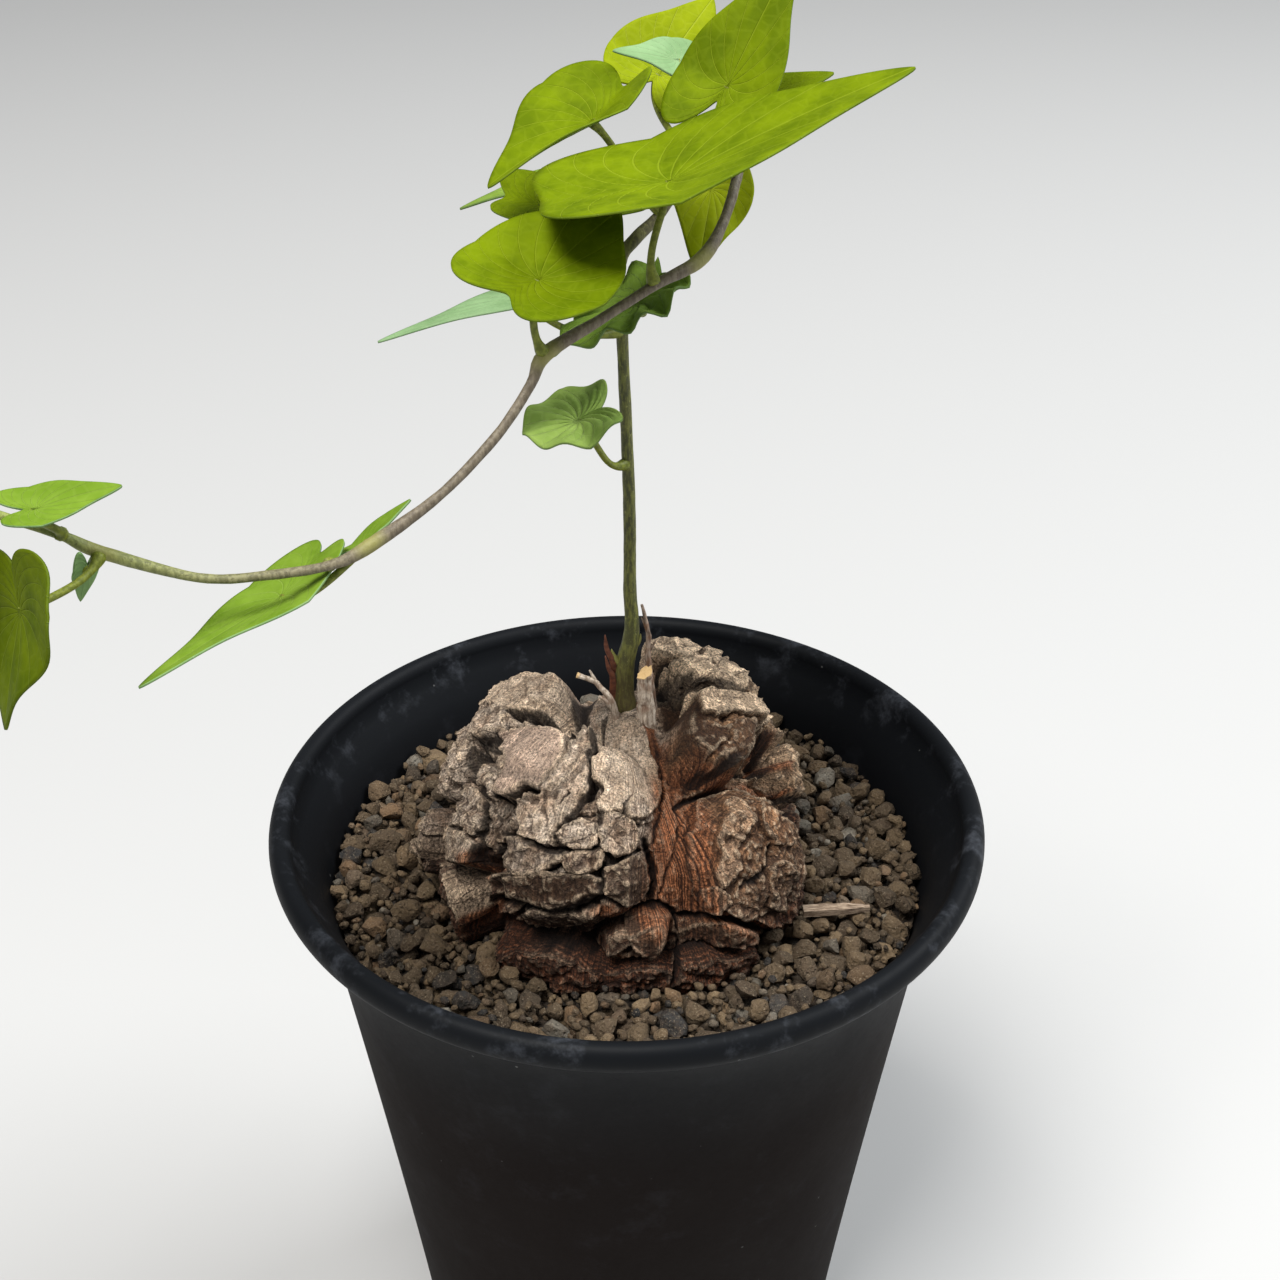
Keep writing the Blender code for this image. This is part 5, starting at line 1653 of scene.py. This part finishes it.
def grow_blade(bm, length, shape):
    """The upper side of a blade, lying flat, with the map of its veins."""
    turns = blade_turns()
    ring = bmesh.ops.create_circle(bm, cap_ends=True, segments=len(turns), radius=1.0)["verts"]
    where = {vert: (turn, 0.0) for vert, turn in zip(ring, turns)}
    for vert, turn in zip(ring, turns):
        vert.co = (math.cos(turn), math.sin(turn), 0.0)
    edges = list(bm.edges)
    for index in range(1, BLADE_RINGS + 1):
        part = (index / BLADE_RINGS) ** RING_CROWDING
        old = {vert.co.to_tuple(5): where[vert][0] for edge in edges for vert in edge.verts}
        grown = bmesh.ops.extrude_edge_only(bm, edges=edges)["geom"]
        edges = [item for item in grown if isinstance(item, bmesh.types.BMEdge) and item.is_boundary]
        for vert in {vert for edge in edges for vert in edge.verts}:
            where[vert] = (old[vert.co.to_tuple(5)], part)
    vein_map = bm.loops.layers.uv.new("vein_map")
    for face in bm.faces:
        middle = where[face.loops[0].vert][0]
        for loop in face.loops:
            turn, part = where[loop.vert]
            loop[vein_map].uv = (vein_count(wrapped(turn, middle), part), part)
    for vert, (turn, part) in where.items():
        vert.co = blade_point(turn, part, length, *shape)
    bmesh.ops.recalc_face_normals(bm, faces=bm.faces)
    cap = next(face for face in bm.faces if len(face.verts) == len(turns))
    if cap.normal.z < 0:
        bmesh.ops.reverse_faces(bm, faces=bm.faces)


def add_underside(bm):
    """A second skin below the first, joined to it at the edge, in the second material."""
    top = list(bm.faces)
    border = [edge for edge in bm.edges if edge.is_boundary]
    copy = bmesh.ops.duplicate(bm, geom=top + list(bm.edges) + list(bm.verts))
    under = [item for item in copy["geom"] if isinstance(item, bmesh.types.BMFace)]
    for vert in {vert for face in under for vert in face.verts}:
        vert.co.z -= BLADE_THICK
    bmesh.ops.reverse_faces(bm, faces=under)
    lower = [copy["edge_map"][edge] for edge in border]
    rim = bmesh.ops.bridge_loops(bm, edges=border + lower)["faces"]
    for face in under + rim:
        face.material_index = 1


print("blade points:", BLADE_TURNS * BLADE_RINGS)

# %% [markdown]
# The petiole is one more sweep. It leaves the blade's underside, bends, and sinks into the stem. A
# cushion thickens it at both ends, where a living petiole turns its blade towards the light.

# %% Petiole
PETIOLE_DOWN = 0.7
PETIOLE_BACK = 0.5
PETIOLE_STEPS = 28
PETIOLE_SIDES = 10
PETIOLE_THIN = 0.5
PETIOLE_SUNK = 0.6
# The cushions: how much thicker at the stem, how long there and at the blade, in petiole lengths
CUSHION = 0.45
CUSHION_AT_STEM = 0.13
CUSHION_AT_BLADE = 0.10
BLADE_CUSHION = 0.5


def nearest_on_stem(place):
    """The stem's centre, direction and radius nearest to a place."""
    index = min(range(1, len(stem_rows) - 1),
                key=lambda i: np.linalg.norm(stem_rows[i][:3] - np.array(place)))
    direction = Vector(stem_rows[index + 1][:3] - stem_rows[index - 1][:3]).normalized()
    return Vector(stem_rows[index][:3]), direction, stem_rows[index][3]


def petiole_rows(base, axes, foot):
    """From the stem to the blade's underside, thicker at both ends where it can bend."""
    centre, direction, radius = nearest_on_stem(foot)
    toward = base - centre
    toward = (toward - direction * toward.dot(direction)).normalized()
    end = centre + toward * radius * PETIOLE_SUNK
    start = base - axes.col[2] * BLADE_THICK * 0.5
    reach = (end - start).length / 3
    away = axes.col[2] * PETIOLE_DOWN + axes.col[0] * PETIOLE_BACK
    leave = start - away.normalized() * reach
    arrive = end + toward * reach
    rows = []
    for index in range(PETIOLE_STEPS + 1):
        t = index / PETIOLE_STEPS
        place = (end * (1 - t) ** 3 + arrive * 3 * t * (1 - t) ** 2
                 + leave * 3 * t * t * (1 - t) + start * t ** 3)
        swell = math.exp(-(t / CUSHION_AT_STEM) ** 2)
        swell += BLADE_CUSHION * math.exp(-((1 - t) / CUSHION_AT_BLADE) ** 2)
        rows.append(np.array((*place, PETIOLE_THIN + CUSHION * swell)))
    return rows


print("petiole points:", PETIOLE_STEPS + 1)

# %% [markdown]
# ## Leaves: material
#
# The vein map is a UV map whose first number counts veins. Where it is near a whole number a vein
# runs, thinner towards the edge. Between the main veins lies a net of small ones, which a Voronoi
# pattern draws well. Veins are paler than the blade, as they look when light shines through it.

# %% Leaf materials
VEIN_WIDTH = 0.035
NET_SCALE = 520.0
PETIOLE_GREENS = ((0.105, 0.125, 0.012), (0.19, 0.215, 0.025))


def leaf_face(name, low, high, vein, roughness, depth):
    """One side of a leaf: two greens, the colour of its veins, and how deep they are."""
    paint = Paint(name)
    uv = paint.node("ShaderNodeUVMap", {"uv_map": "vein_map"})
    count = paint.node("ShaderNodeSeparateXYZ", None, {"Vector": uv}, output="X")
    part = paint.node("ShaderNodeSeparateXYZ", None, {"Vector": uv}, output="Y")
    off = paint.node("ShaderNodeMath", {"operation": "PINGPONG"}, {0: count, 1: 0.5})
    width = VEIN_WIDTH / (part + 0.12)
    main = 1.0 - off.step(width * 0.35, width)
    small = 1.0 - paint.cells(NET_SCALE, feature="DISTANCE_TO_EDGE").step(0.02, 0.14)
    colour = paint.mix(paint.grain(7.0, 3.0, 0.6).step(0.3, 0.7), low, high)
    colour = paint.mix(small * 0.12, colour, vein)
    colour = paint.mix(main * 0.55, colour, vein)
    fine = paint.grain(0.5, 2.0)
    height = small * -0.2 - main * 0.8 + fine * 0.2
    normal = paint.bump(height, depth, 1.0)
    return paint.surface(colour, roughness + fine * 0.12, normal, Specular_IOR_Level=0.03)


# Each kind of leaf: for both sides the two greens, the veins, the roughness and the veins' depth
LEAF_KINDS = {
    "bright": (((0.083, 0.126, 0.0012), (0.142, 0.198, 0.002), (0.20, 0.26, 0.012), 0.55, 0.08),
               ((0.10, 0.15, 0.008), (0.14, 0.20, 0.014), (0.18, 0.24, 0.03), 0.6, -0.08)),
    # lit: greens painted brighter, a painted glow of light shining through leaves in shade
    "lit": (((0.160, 0.205, 0.002), (0.225, 0.275, 0.004), (0.30, 0.35, 0.03), 0.55, 0.08),
            ((0.160, 0.205, 0.006), (0.225, 0.275, 0.010), (0.30, 0.35, 0.03), 0.6, -0.08)),
    "deep": (((0.052, 0.078, 0.0015), (0.088, 0.120, 0.003), (0.12, 0.16, 0.015), 0.55, 0.10),
             ((0.07, 0.10, 0.006), (0.10, 0.14, 0.012), (0.14, 0.19, 0.03), 0.6, -0.08)),
    # dark: greens painted lighter than the leaf's own colour, painted light for leaves in shade
    "dark": (((0.125, 0.205, 0.028), (0.185, 0.285, 0.040), (0.25, 0.35, 0.10), 0.5, 0.16),
             ((0.09, 0.15, 0.04), (0.13, 0.20, 0.06), (0.18, 0.26, 0.09), 0.6, -0.1)),
    # fresh: greens painted lighter, painted light for a leaf in the shade of the leaves above
    "fresh": (((0.195, 0.300, 0.060), (0.290, 0.415, 0.090), (0.38, 0.49, 0.17), 0.5, 0.14),
              ((0.12, 0.19, 0.05), (0.17, 0.25, 0.07), (0.24, 0.33, 0.12), 0.6, -0.1)),
    "pale": (((0.105, 0.185, 0.012), (0.155, 0.250, 0.024), (0.20, 0.29, 0.05), 0.55, 0.06),
             ((0.16, 0.27, 0.10), (0.22, 0.34, 0.14), (0.26, 0.38, 0.18), 0.6, -0.06)),
    "blue": (((0.16, 0.27, 0.12), (0.22, 0.35, 0.17), (0.28, 0.40, 0.20), 0.6, 0.05),
             ((0.18, 0.30, 0.14), (0.24, 0.37, 0.19), (0.28, 0.40, 0.22), 0.6, -0.05)),
}
LEAF_FACES = {kind: (leaf_face(f"leaf_{kind}", *upper), leaf_face(f"leaf_{kind}_under", *lower))
              for kind, (upper, lower) in LEAF_KINDS.items()}


def petiole_skin():
    """Flecked olive green."""
    paint = Paint("petiole_skin")
    fleck = paint.grain(0.6, 3.0, 0.6)
    colour = paint.mix(fleck.step(0.35, 0.65), *PETIOLE_GREENS)
    return paint.surface(colour, 0.5, paint.bump(fleck, 0.08), Specular_IOR_Level=0.3)


petiole_finish = petiole_skin()
print("kinds of leaf:", ", ".join(LEAF_FACES))

# %% Leaves
# Each leaf: foot on the vine, base and tip of the blade, the side that faces up, then the blade's
# width, fold, arch, wave, number of waves, bulge between its veins, length of its drawn out tip
# and depth of its sinus, and its colour
LEAVES = {
    "front": ((4.1, -24.8, 229.0), (6, -23, 242), (36, -19, 255), (-0.3, 0.0, 0.95),
              (0.85, 0.12, 0.06, 0.4, 3, 0.006, 0.44, 0.08), "bright"),
    "top": ((12.6, 0.0, 240.5), (14, -1, 248), (23, 6, 264), (-0.5, -0.8, 0.4),
            (0.70, 0.15, 0.05, 0.3, 3, 0.008, 0.44, 0.42), "bright"),
    "sliver": ((13.5, -2.5, 240.8), (19, 7, 244), (29, 9, 247), (0.0, -0.1, 1.0),
               (0.90, 0.10, 0.10, 0.2, 3, 0.008, 0.44, 0.42), "bright"),
    "pair": ((9.2, 5.1, 235.2), (5, 20, 244), (13, 31, 252), (0.1, -0.7, 0.6),
             (0.95, 0.10, 0.10, 0.3, 3, 0.008, 0.44, 0.42), "lit"),
    "under": ((10.6, 3.3, 237.8), (7.2, 12, 247.8), (-1.5, 9, 250.0), (0.1, -0.4, 0.9),
              (0.75, 0.15, 0.10, 0.3, 3, 0.008, 0.44, 0.42), "blue"),
    "upper_left": ((5.3, 5.5, 228.3), (-4.4, 2, 242.1), (-18, -10, 237), (-0.24, -0.12, 1.0),
                   (0.85, 0.50, 0.12, 0.4, 3, 0.008, 0.44, 0.20), "bright"),
    "dark_tip": ((-0.4, 2.0, 216.0), (-11, 13, 230), (-24, 11, 227), (0.0, 0.1, 1.0),
                 (0.80, 0.15, 0.10, 0.2, 3, 0.010, 0.44, 0.42), "dark"),
    "left": ((-0.6, 2.2, 220.0), (-11.3, 0, 231.0), (3, -2, 231.5), (0.04, -0.15, 1.0),
             (1.00, 0.15, 0.08, 0.4, 3, 0.008, 0.44, 0.20), "bright"),
    "mid": ((-9.8, -31.4, 222.3), (-10.2, -32, 232.6), (1.8, -18, 238.2), (0.10, -0.18, 0.97),
            (0.98, 0.12, 0.10, 0.5, 3, 0.006, 0.26, 0.26), "bright"),
    "small_pale": ((-0.4, 2.0, 211.8), (-14, -9, 221), (-33, -18, 218.5), (-0.1, 0.1, 0.95),
                   (0.42, 0.15, 0.06, 0.2, 3, 0.008, 0.44, 0.30), "blue"),
    "right": ((9.2, 5.1, 235.2), (12, -2, 234), (10, -9, 225), (0.2, -0.95, 0.4),
              (0.90, 0.05, 0.05, 0.5, 5, 0.012, 0.44, 0.42), "lit"),
    "crinkled": ((-0.4, 2.0, 216.0), (1.6, -9, 219.9), (-12.6, -17, 214.2), (-0.40, 0.05, 0.92),
                 (1.05, 0.10, 0.06, 0.9, 11, 0.035, 0.25, 0.30), "dark"),
    "on_stem": ((0.4, 2.0, 190.5), (-6.9, -6, 201.0), (-20.4, -9.5, 198.7), (-0.14, -0.08, 1.0),
                (1.06, 0.10, 0.12, 0.6, 7, 0.030, 0.02, 0.40), "fresh"),
    "long": ((-31.4, -47.8, 203.8), (-42.9, -50, 197.5), (-57.3, -66, 194.8), (-0.38, 0.02, 0.93),
             (0.55, 0.12, 0.03, 0.3, 3, 0.006, 0.44, 0.20), "pale"),
    "edge": ((-36.0, -50.8, 202.7), (-33.1, -44, 201.7), (-27.4, -38, 205.2), (-0.57, 0.07, 0.82),
             (0.60, 0.20, 0.10, 0.2, 3, 0.008, 0.44, 0.42), "pale"),
    "hang": ((-62.0, -56.9, 208.0), (-69.0, -67.0, 205.7), (-71.0, -76.0, 191.7), (-0.7, -0.55, 0.3),
             (1.20, 0.10, 0.05, 0.7, 5, 0.010, 0.25, 0.30), "deep"),
    "pale_left": ((-66.1, -57.6, 210.7), (-67, -61, 216), (-58, -57, 217), (0.1, -0.2, 1.0),
                  (0.70, 0.15, 0.10, 0.2, 3, 0.008, 0.44, 0.42), "pale"),
    "narrow": ((-62.0, -56.9, 208.0), (-65, -54, 204), (-67, -53, 199), (-0.6, 0.7, 0.2),
               (0.60, 0.20, 0.10, 0.2, 3, 0.008, 0.44, 0.42), "pale"),
    "shoot": ((-79.0, -59.0, 217.5), (-83, -66, 222), (-96, -74, 218), (0.1, -0.3, 0.9),
              (0.85, 0.15, 0.12, 0.3, 3, 0.008, 0.44, 0.42), "bright"),
    "newest": ((-85.0, -58.0, 223.0), (-83, -53, 226), (-78, -46, 229), (-0.3, 0.2, 0.9),
               (0.80, 0.30, 0.10, 0.2, 3, 0.012, 0.44, 0.42), "pale"),
}


def make_leaf(name, foot, base, tip, upward, shape, colour):
    """A blade with both its sides, stood in its place, and the petiole that carries it."""
    base, tip, upward = Vector(base), Vector(tip), Vector(upward)
    ahead = (tip - base).normalized()
    side = upward.cross(ahead).normalized()
    axes = Matrix((ahead, side, ahead.cross(side))).transposed()
    bm = bmesh.new()
    grow_blade(bm, (tip - base).length, shape)
    add_underside(bm)
    bmesh.ops.transform(bm, matrix=Matrix.Translation(base) @ axes.to_4x4(), verts=bm.verts)
    bmesh.ops.scale(bm, verts=bm.verts, vec=(MM, MM, MM))
    blade_faces = len(bm.faces)
    sweep(bm, petiole_rows(base, axes, foot), PETIOLE_SIDES)
    bm.faces.ensure_lookup_table()
    for face in bm.faces[blade_faces:]:
        face.material_index = 2
    bmesh.ops.recalc_face_normals(bm, faces=bm.faces)
    front, back = LEAF_FACES[colour]
    piece = add_piece(f"fine_leaf_{name}", bm, front, [f"leaf_{name}"])
    piece.data.materials.append(back)
    piece.data.materials.append(petiole_finish)


for leaf_name, leaf in LEAVES.items():
    make_leaf(leaf_name, *leaf)

# %% [markdown]
# ## Dead wood and scales at the crown
#
# Each year's vine dies back and leaves a dry twig. The stump and one of the twigs have been cut,
# which shows their fresh wood. Red brown scales, the dry bracts of the shoot, stand round its foot.
# They are sweeps again: the twigs fork, and the scales are the same ring pressed flat.

# %% Dead wood
FIBRE_STRETCH = (1.0, 1.0, 0.2)
WOOD_STAIN = (0.19, 0.090, 0.045)
FRESH_WOOD = ((0.62, 0.36, 0.13), (0.80, 0.58, 0.30))


def dry_wood(name, dark, light, stained):
    """Fibrous wood with some stain, and the colour of fresh wood where it was cut."""
    paint = Paint(name)
    fibre = paint.grain(0.45, 4.0, 0.7, paint.stretched(FIBRE_STRETCH))
    colour = paint.mix(fibre.step(0.36, 0.64), dark, light)
    stain = paint.grain(2.4, 3.0)
    colour = paint.mix(stain.step(0.48, 0.64) * stained, colour, WOOD_STAIN)
    fresh = paint.mix(paint.grain(0.4, 2.0), *FRESH_WOOD)
    colour = paint.mix(paint.own("cut"), colour, fresh)
    return paint.surface(colour, 0.85, paint.bump(fibre, 0.22))


pale_wood = dry_wood("pale_wood", (0.24, 0.175, 0.125), (0.66, 0.56, 0.45), 0.55)
grey_wood = dry_wood("grey_wood", (0.11, 0.070, 0.046), (0.42, 0.32, 0.245), 0.7)

# %% Twigs
TWIG_STEP = 0.5
TWIG_SIDES = 10
TWIG_WAVES = ((0.9, 0.10),)
CUT_FROM_RADIUS = 0.4
# Each twig: the solid that it stands for, its wood, and its branches as points with their radius
BRANCHES = {
    "left_twig": ("twig_left", pale_wood, (
        (((-1.7, -0.8, 142.5), 0.8), ((-1.9, -1.5, 146.6), 0.66), ((-2.7, -2.0, 150.0), 0.52),
         ((-4.3, -2.0, 152.1), 0.47), ((-5.0, -2.0, 153.1), 0.45), ((-6.5, -2.0, 153.8), 0.43),
         ((-7.9, -2.0, 154.4), 0.46)),
        (((-4.6, -1.9, 152.4), 0.36), ((-5.2, -1.8, 153.7), 0.28), ((-5.9, -1.8, 155.2), 0.15)),
        (((-2.2, -1.6, 147.4), 0.6), ((-3.3, -2.3, 149.6), 0.42), ((-4.4, -2.6, 150.7), 0.22)))),
    "right_twig": ("twig_right", grey_wood, (
        (((4.6, 2.2, 142.5), 0.75), ((4.1, 2.0, 149.0), 0.58), ((3.6, 2.0, 153.9), 0.50),
         ((3.5, 2.0, 156.6), 0.46), ((3.6, 2.0, 159.3), 0.43), ((3.3, 2.0, 161.0), 0.39),
         ((2.9, 2.0, 163.4), 0.32), ((2.5, 2.0, 165.2), 0.22)),
        (((3.6, 2.0, 156.4), 0.32), ((4.3, 1.9, 157.6), 0.24), ((4.8, 1.9, 158.8), 0.1)),
        (((3.5, 2.1, 160.0), 0.3), ((2.9, 2.0, 161.6), 0.22), ((2.4, 2.0, 162.8), 0.1)))),
}


def make_branches(name, stands_for, finish, branches):
    """A forked twig. A branch that ends thick was cut there."""
    bm = bmesh.new()
    cut = []
    for points in branches:
        rows = catmull_rom(points, TWIG_STEP)
        verts = sweep(bm, rows, TWIG_SIDES)
        bm.normal_update()
        roughen(verts, TWIG_WAVES)
        is_cut = 1.0 if rows[-1][3] > CUT_FROM_RADIUS else 0.0
        cut += [0.0] * (len(verts) - TWIG_SIDES) + [is_cut] * TWIG_SIDES
    bmesh.ops.recalc_face_normals(bm, faces=bm.faces)
    piece = add_piece(name, bm, finish, [stands_for], sharp=50)
    store(piece.data, "cut", cut)


for branch_name, (node_name, finish, branches) in BRANCHES.items():
    make_branches(branch_name, node_name, finish, branches)

# %% Stump with a slanted cut
STUMP_POINTS = (((3.3, -1.0, 143.0), 1.7), ((3.2, -1.2, 146.5), 1.45), ((3.1, -1.3, 150.0), 1.22),
                ((2.9, -1.3, 155.3), 1.22))
STUMP_STEP = 0.35
STUMP_SIDES = 20
CUT_FACING = Vector((-0.42, -0.25, 0.87))
CUT_BELOW_END = 0.9
# The stump's ribs: how many there are to a turn, how far they run, and their depth in mm
RIB_TURNS = 3
RIB_LENGTH = 5
RIB_DEPTH = 0.38
SPLINTER_SIZE = 0.6
SPLINTER_DEPTH = 0.22
CUT_ROUGHNESS = 0.25
ON_CUT = 0.02


def stump_side():
    """A ribbed and splintered sweep."""
    bm = bmesh.new()
    verts = sweep(bm, catmull_rom(STUMP_POINTS, STUMP_STEP), STUMP_SIDES)
    bm.normal_update()
    for vert in verts:
        around = vert.normal * RIB_TURNS
        ribs = noise.noise(Vector((around.x, around.y, vert.co.z / (RIB_LENGTH * MM))))
        splinters = noise.noise(vert.co / (SPLINTER_SIZE * MM))
        vert.co += vert.normal * (RIB_DEPTH * ribs + SPLINTER_DEPTH * splinters) * MM
    return bm


def make_stump():
    """The sweep is cut off on a slant, and the cut gets a face of its own."""
    bm = stump_side()
    place = (Vector(STUMP_POINTS[-1][0]) - Vector((0.0, 0.0, CUT_BELOW_END))) * MM
    cut = bmesh.ops.bisect_plane(bm, geom=bm.verts[:] + bm.edges[:] + bm.faces[:], plane_co=place,
                                 plane_no=CUT_FACING, clear_outer=True)
    rim = [item for item in cut["geom_cut"] if isinstance(item, bmesh.types.BMEdge)]
    cap = bmesh.ops.contextual_create(bm, geom=rim)["faces"]
    bmesh.ops.poke(bm, faces=cap)
    facing = CUT_FACING.normalized()
    flat = [1.0 if abs((vert.co - place).dot(facing)) < ON_CUT * MM else 0.0 for vert in bm.verts]
    for vert, is_cut in zip(bm.verts, flat):
        splinters = noise.noise(vert.co / (SPLINTER_SIZE * MM))
        vert.co += facing * is_cut * CUT_ROUGHNESS * MM * splinters
    bmesh.ops.recalc_face_normals(bm, faces=bm.faces)
    piece = add_piece("cut_stump", bm, pale_wood, ["stump"], sharp=45)
    store(piece.data, "cut", flat)


make_stump()

# %% Dry scales
SCALE_STEP = 0.5
SCALE_SIDES = 12
SCALE_FLATNESS = 0.28
SCALE_REDS = ((0.080, 0.022, 0.011), (0.165, 0.052, 0.024))
# Each scale: points of its middle line and half its width there, in mm
SCALES = (
    (((-2.4, 1.4, 146.6), 0.62), ((-2.2, 1.2, 149.6), 0.58), ((-2.3, 1.0, 152.4), 0.50),
     ((-2.9, 0.9, 153.9), 0.38), ((-3.4, 0.8, 156.3), 0.1)),
    (((-1.9, 1.6, 152.4), 0.45), ((-2.3, 1.1, 155.2), 0.52), ((-3.1, 1.0, 157.3), 0.42),
     ((-3.3, 0.9, 158.8), 0.3), ((-3.4, 0.6, 160.4), 0.08)),
)


def make_scales():
    """Both scales, as one piece."""
    bm = bmesh.new()
    for points in SCALES:
        sweep(bm, catmull_rom(points, SCALE_STEP), SCALE_SIDES, SCALE_FLATNESS)
    bmesh.ops.recalc_face_normals(bm, faces=bm.faces)
    finish = grained("dry_scale", (0.7, 3.0, 0.6), SCALE_REDS, 0.55, 0.12)
    add_piece("dry_scales", bm, finish, ["scale_left"])


make_scales()

# %% [markdown]
# ## Bark chip
#
# A splinter of bark lies on the gravel. It is a box that is cut finer, tapered to one end and
# roughened, with grain along its length.

# %% Bark chip
CHIP_SIZE = (11.0, 2.2, 1.2)
CHIP_TURN = 4.0
CHIP_CUTS = 15
CHIP_TAPER = 0.65
CHIP_BEND = 0.25
CHIP_ROUGHNESS = 0.22
CHIP_STRETCH = (0.15, 1.0, 1.0)
CHIP_BROWNS = ((0.10, 0.062, 0.036), (0.36, 0.27, 0.19))


def make_chip():
    """The splinter is shaped in units of its own size first, and then in mm."""
    bm = bmesh.new()
    bmesh.ops.create_cube(bm, size=1.0)
    bmesh.ops.subdivide_edges(bm, edges=bm.edges[:], cuts=CHIP_CUTS, use_grid_fill=True)
    for vert in bm.verts:
        taper = 1.0 - CHIP_TAPER * smooth_step(0.05, 0.45, vert.co.x)
        vert.co.y *= taper * (1.0 - 0.2 * smooth_step(-0.5, 0.3, -vert.co.x))
        vert.co.z *= 0.75 + 0.25 * taper
    bmesh.ops.scale(bm, verts=bm.verts, vec=CHIP_SIZE)
    for vert in bm.verts:
        vert.co.y += CHIP_BEND * noise.noise(Vector((vert.co.x * 0.5, 0.0, 3.0)))
        vert.co.z += CHIP_ROUGHNESS * noise.noise(Vector((vert.co.x * 0.7, vert.co.y * 1.5, 7.0)))
    turn = Matrix.Rotation(math.radians(CHIP_TURN), 4, "Z")
    bmesh.ops.transform(bm, matrix=Matrix.Translation(Vector(CHIP_PLACE)) @ turn, verts=bm.verts)
    bmesh.ops.scale(bm, verts=bm.verts, vec=(MM, MM, MM))
    finish = grained("chip_bark", (0.35, 4.0, 0.7), CHIP_BROWNS, 0.85, 0.3, stretch=CHIP_STRETCH)
    add_piece("fine_bark_chip", bm, finish, ["bark_chip"], sharp=50)


make_chip()

# %% [markdown]
# ## Stage and light
#
# A plain pale floor stands in for the room. The larger light hangs high in front and to the left,
# as in the photo, and a cooler one at the right brightens the shadows. Both point at the plant.

# %% Stage and light
FLOOR_SIZE = 4.0
FLOOR_COLOUR = (0.48, 0.478, 0.472)
LIGHTS_AIM = Vector((0.0, 0.0, 0.13))
# Each light: its place and its size in metres, its power in watts and its colour
LIGHTS = {
    "sky": ((-0.42, -0.60, 1.82), 0.8, 48.5, (1.0, 0.985, 0.96)),
    "window": ((1.1, 0.25, 1.3), 1.0, 27.0, (0.95, 0.98, 1.0)),
}
WORLD_COLOUR = (0.93, 0.96, 1.0, 1.0)
WORLD_STRENGTH = 0.30


def make_floor():
    """A plain floor, which isn't part of the plant."""
    bm = bmesh.new()
    bmesh.ops.create_grid(bm, x_segments=1, y_segments=1, size=FLOOR_SIZE)
    mesh = mesh_of(bm, "floor")
    mesh.materials.append(Paint("pale_floor").surface(FLOOR_COLOUR, 0.6))
    floor = add_object("floor", mesh)


def make_light(name, place, size, power, colour):
    """A square lamp that points at the plant."""
    data = bpy.data.lights.new(name, "AREA")
    data.shape = "RECTANGLE"
    data.size, data.size_y = size, size
    data.energy = power
    data.color = colour
    light = add_object(name, data)
    light.location = place
    light.rotation_euler = (LIGHTS_AIM - Vector(place)).to_track_quat("-Z", "Y").to_euler()


def make_world():
    """Faint even light from all sides, and colours that compare directly with the photo."""
    world = bpy.data.worlds.new("studio")
    world.use_nodes = True
    background = world.node_tree.nodes["Background"]
    background.inputs["Color"].default_value = WORLD_COLOUR
    background.inputs["Strength"].default_value = WORLD_STRENGTH
    bpy.context.scene.world = world
    bpy.context.scene.view_settings.view_transform = "Standard"


make_floor()
make_world()
for light_name, light in LIGHTS.items():
    make_light(light_name, *light)
print("lights:", ", ".join(LIGHTS))
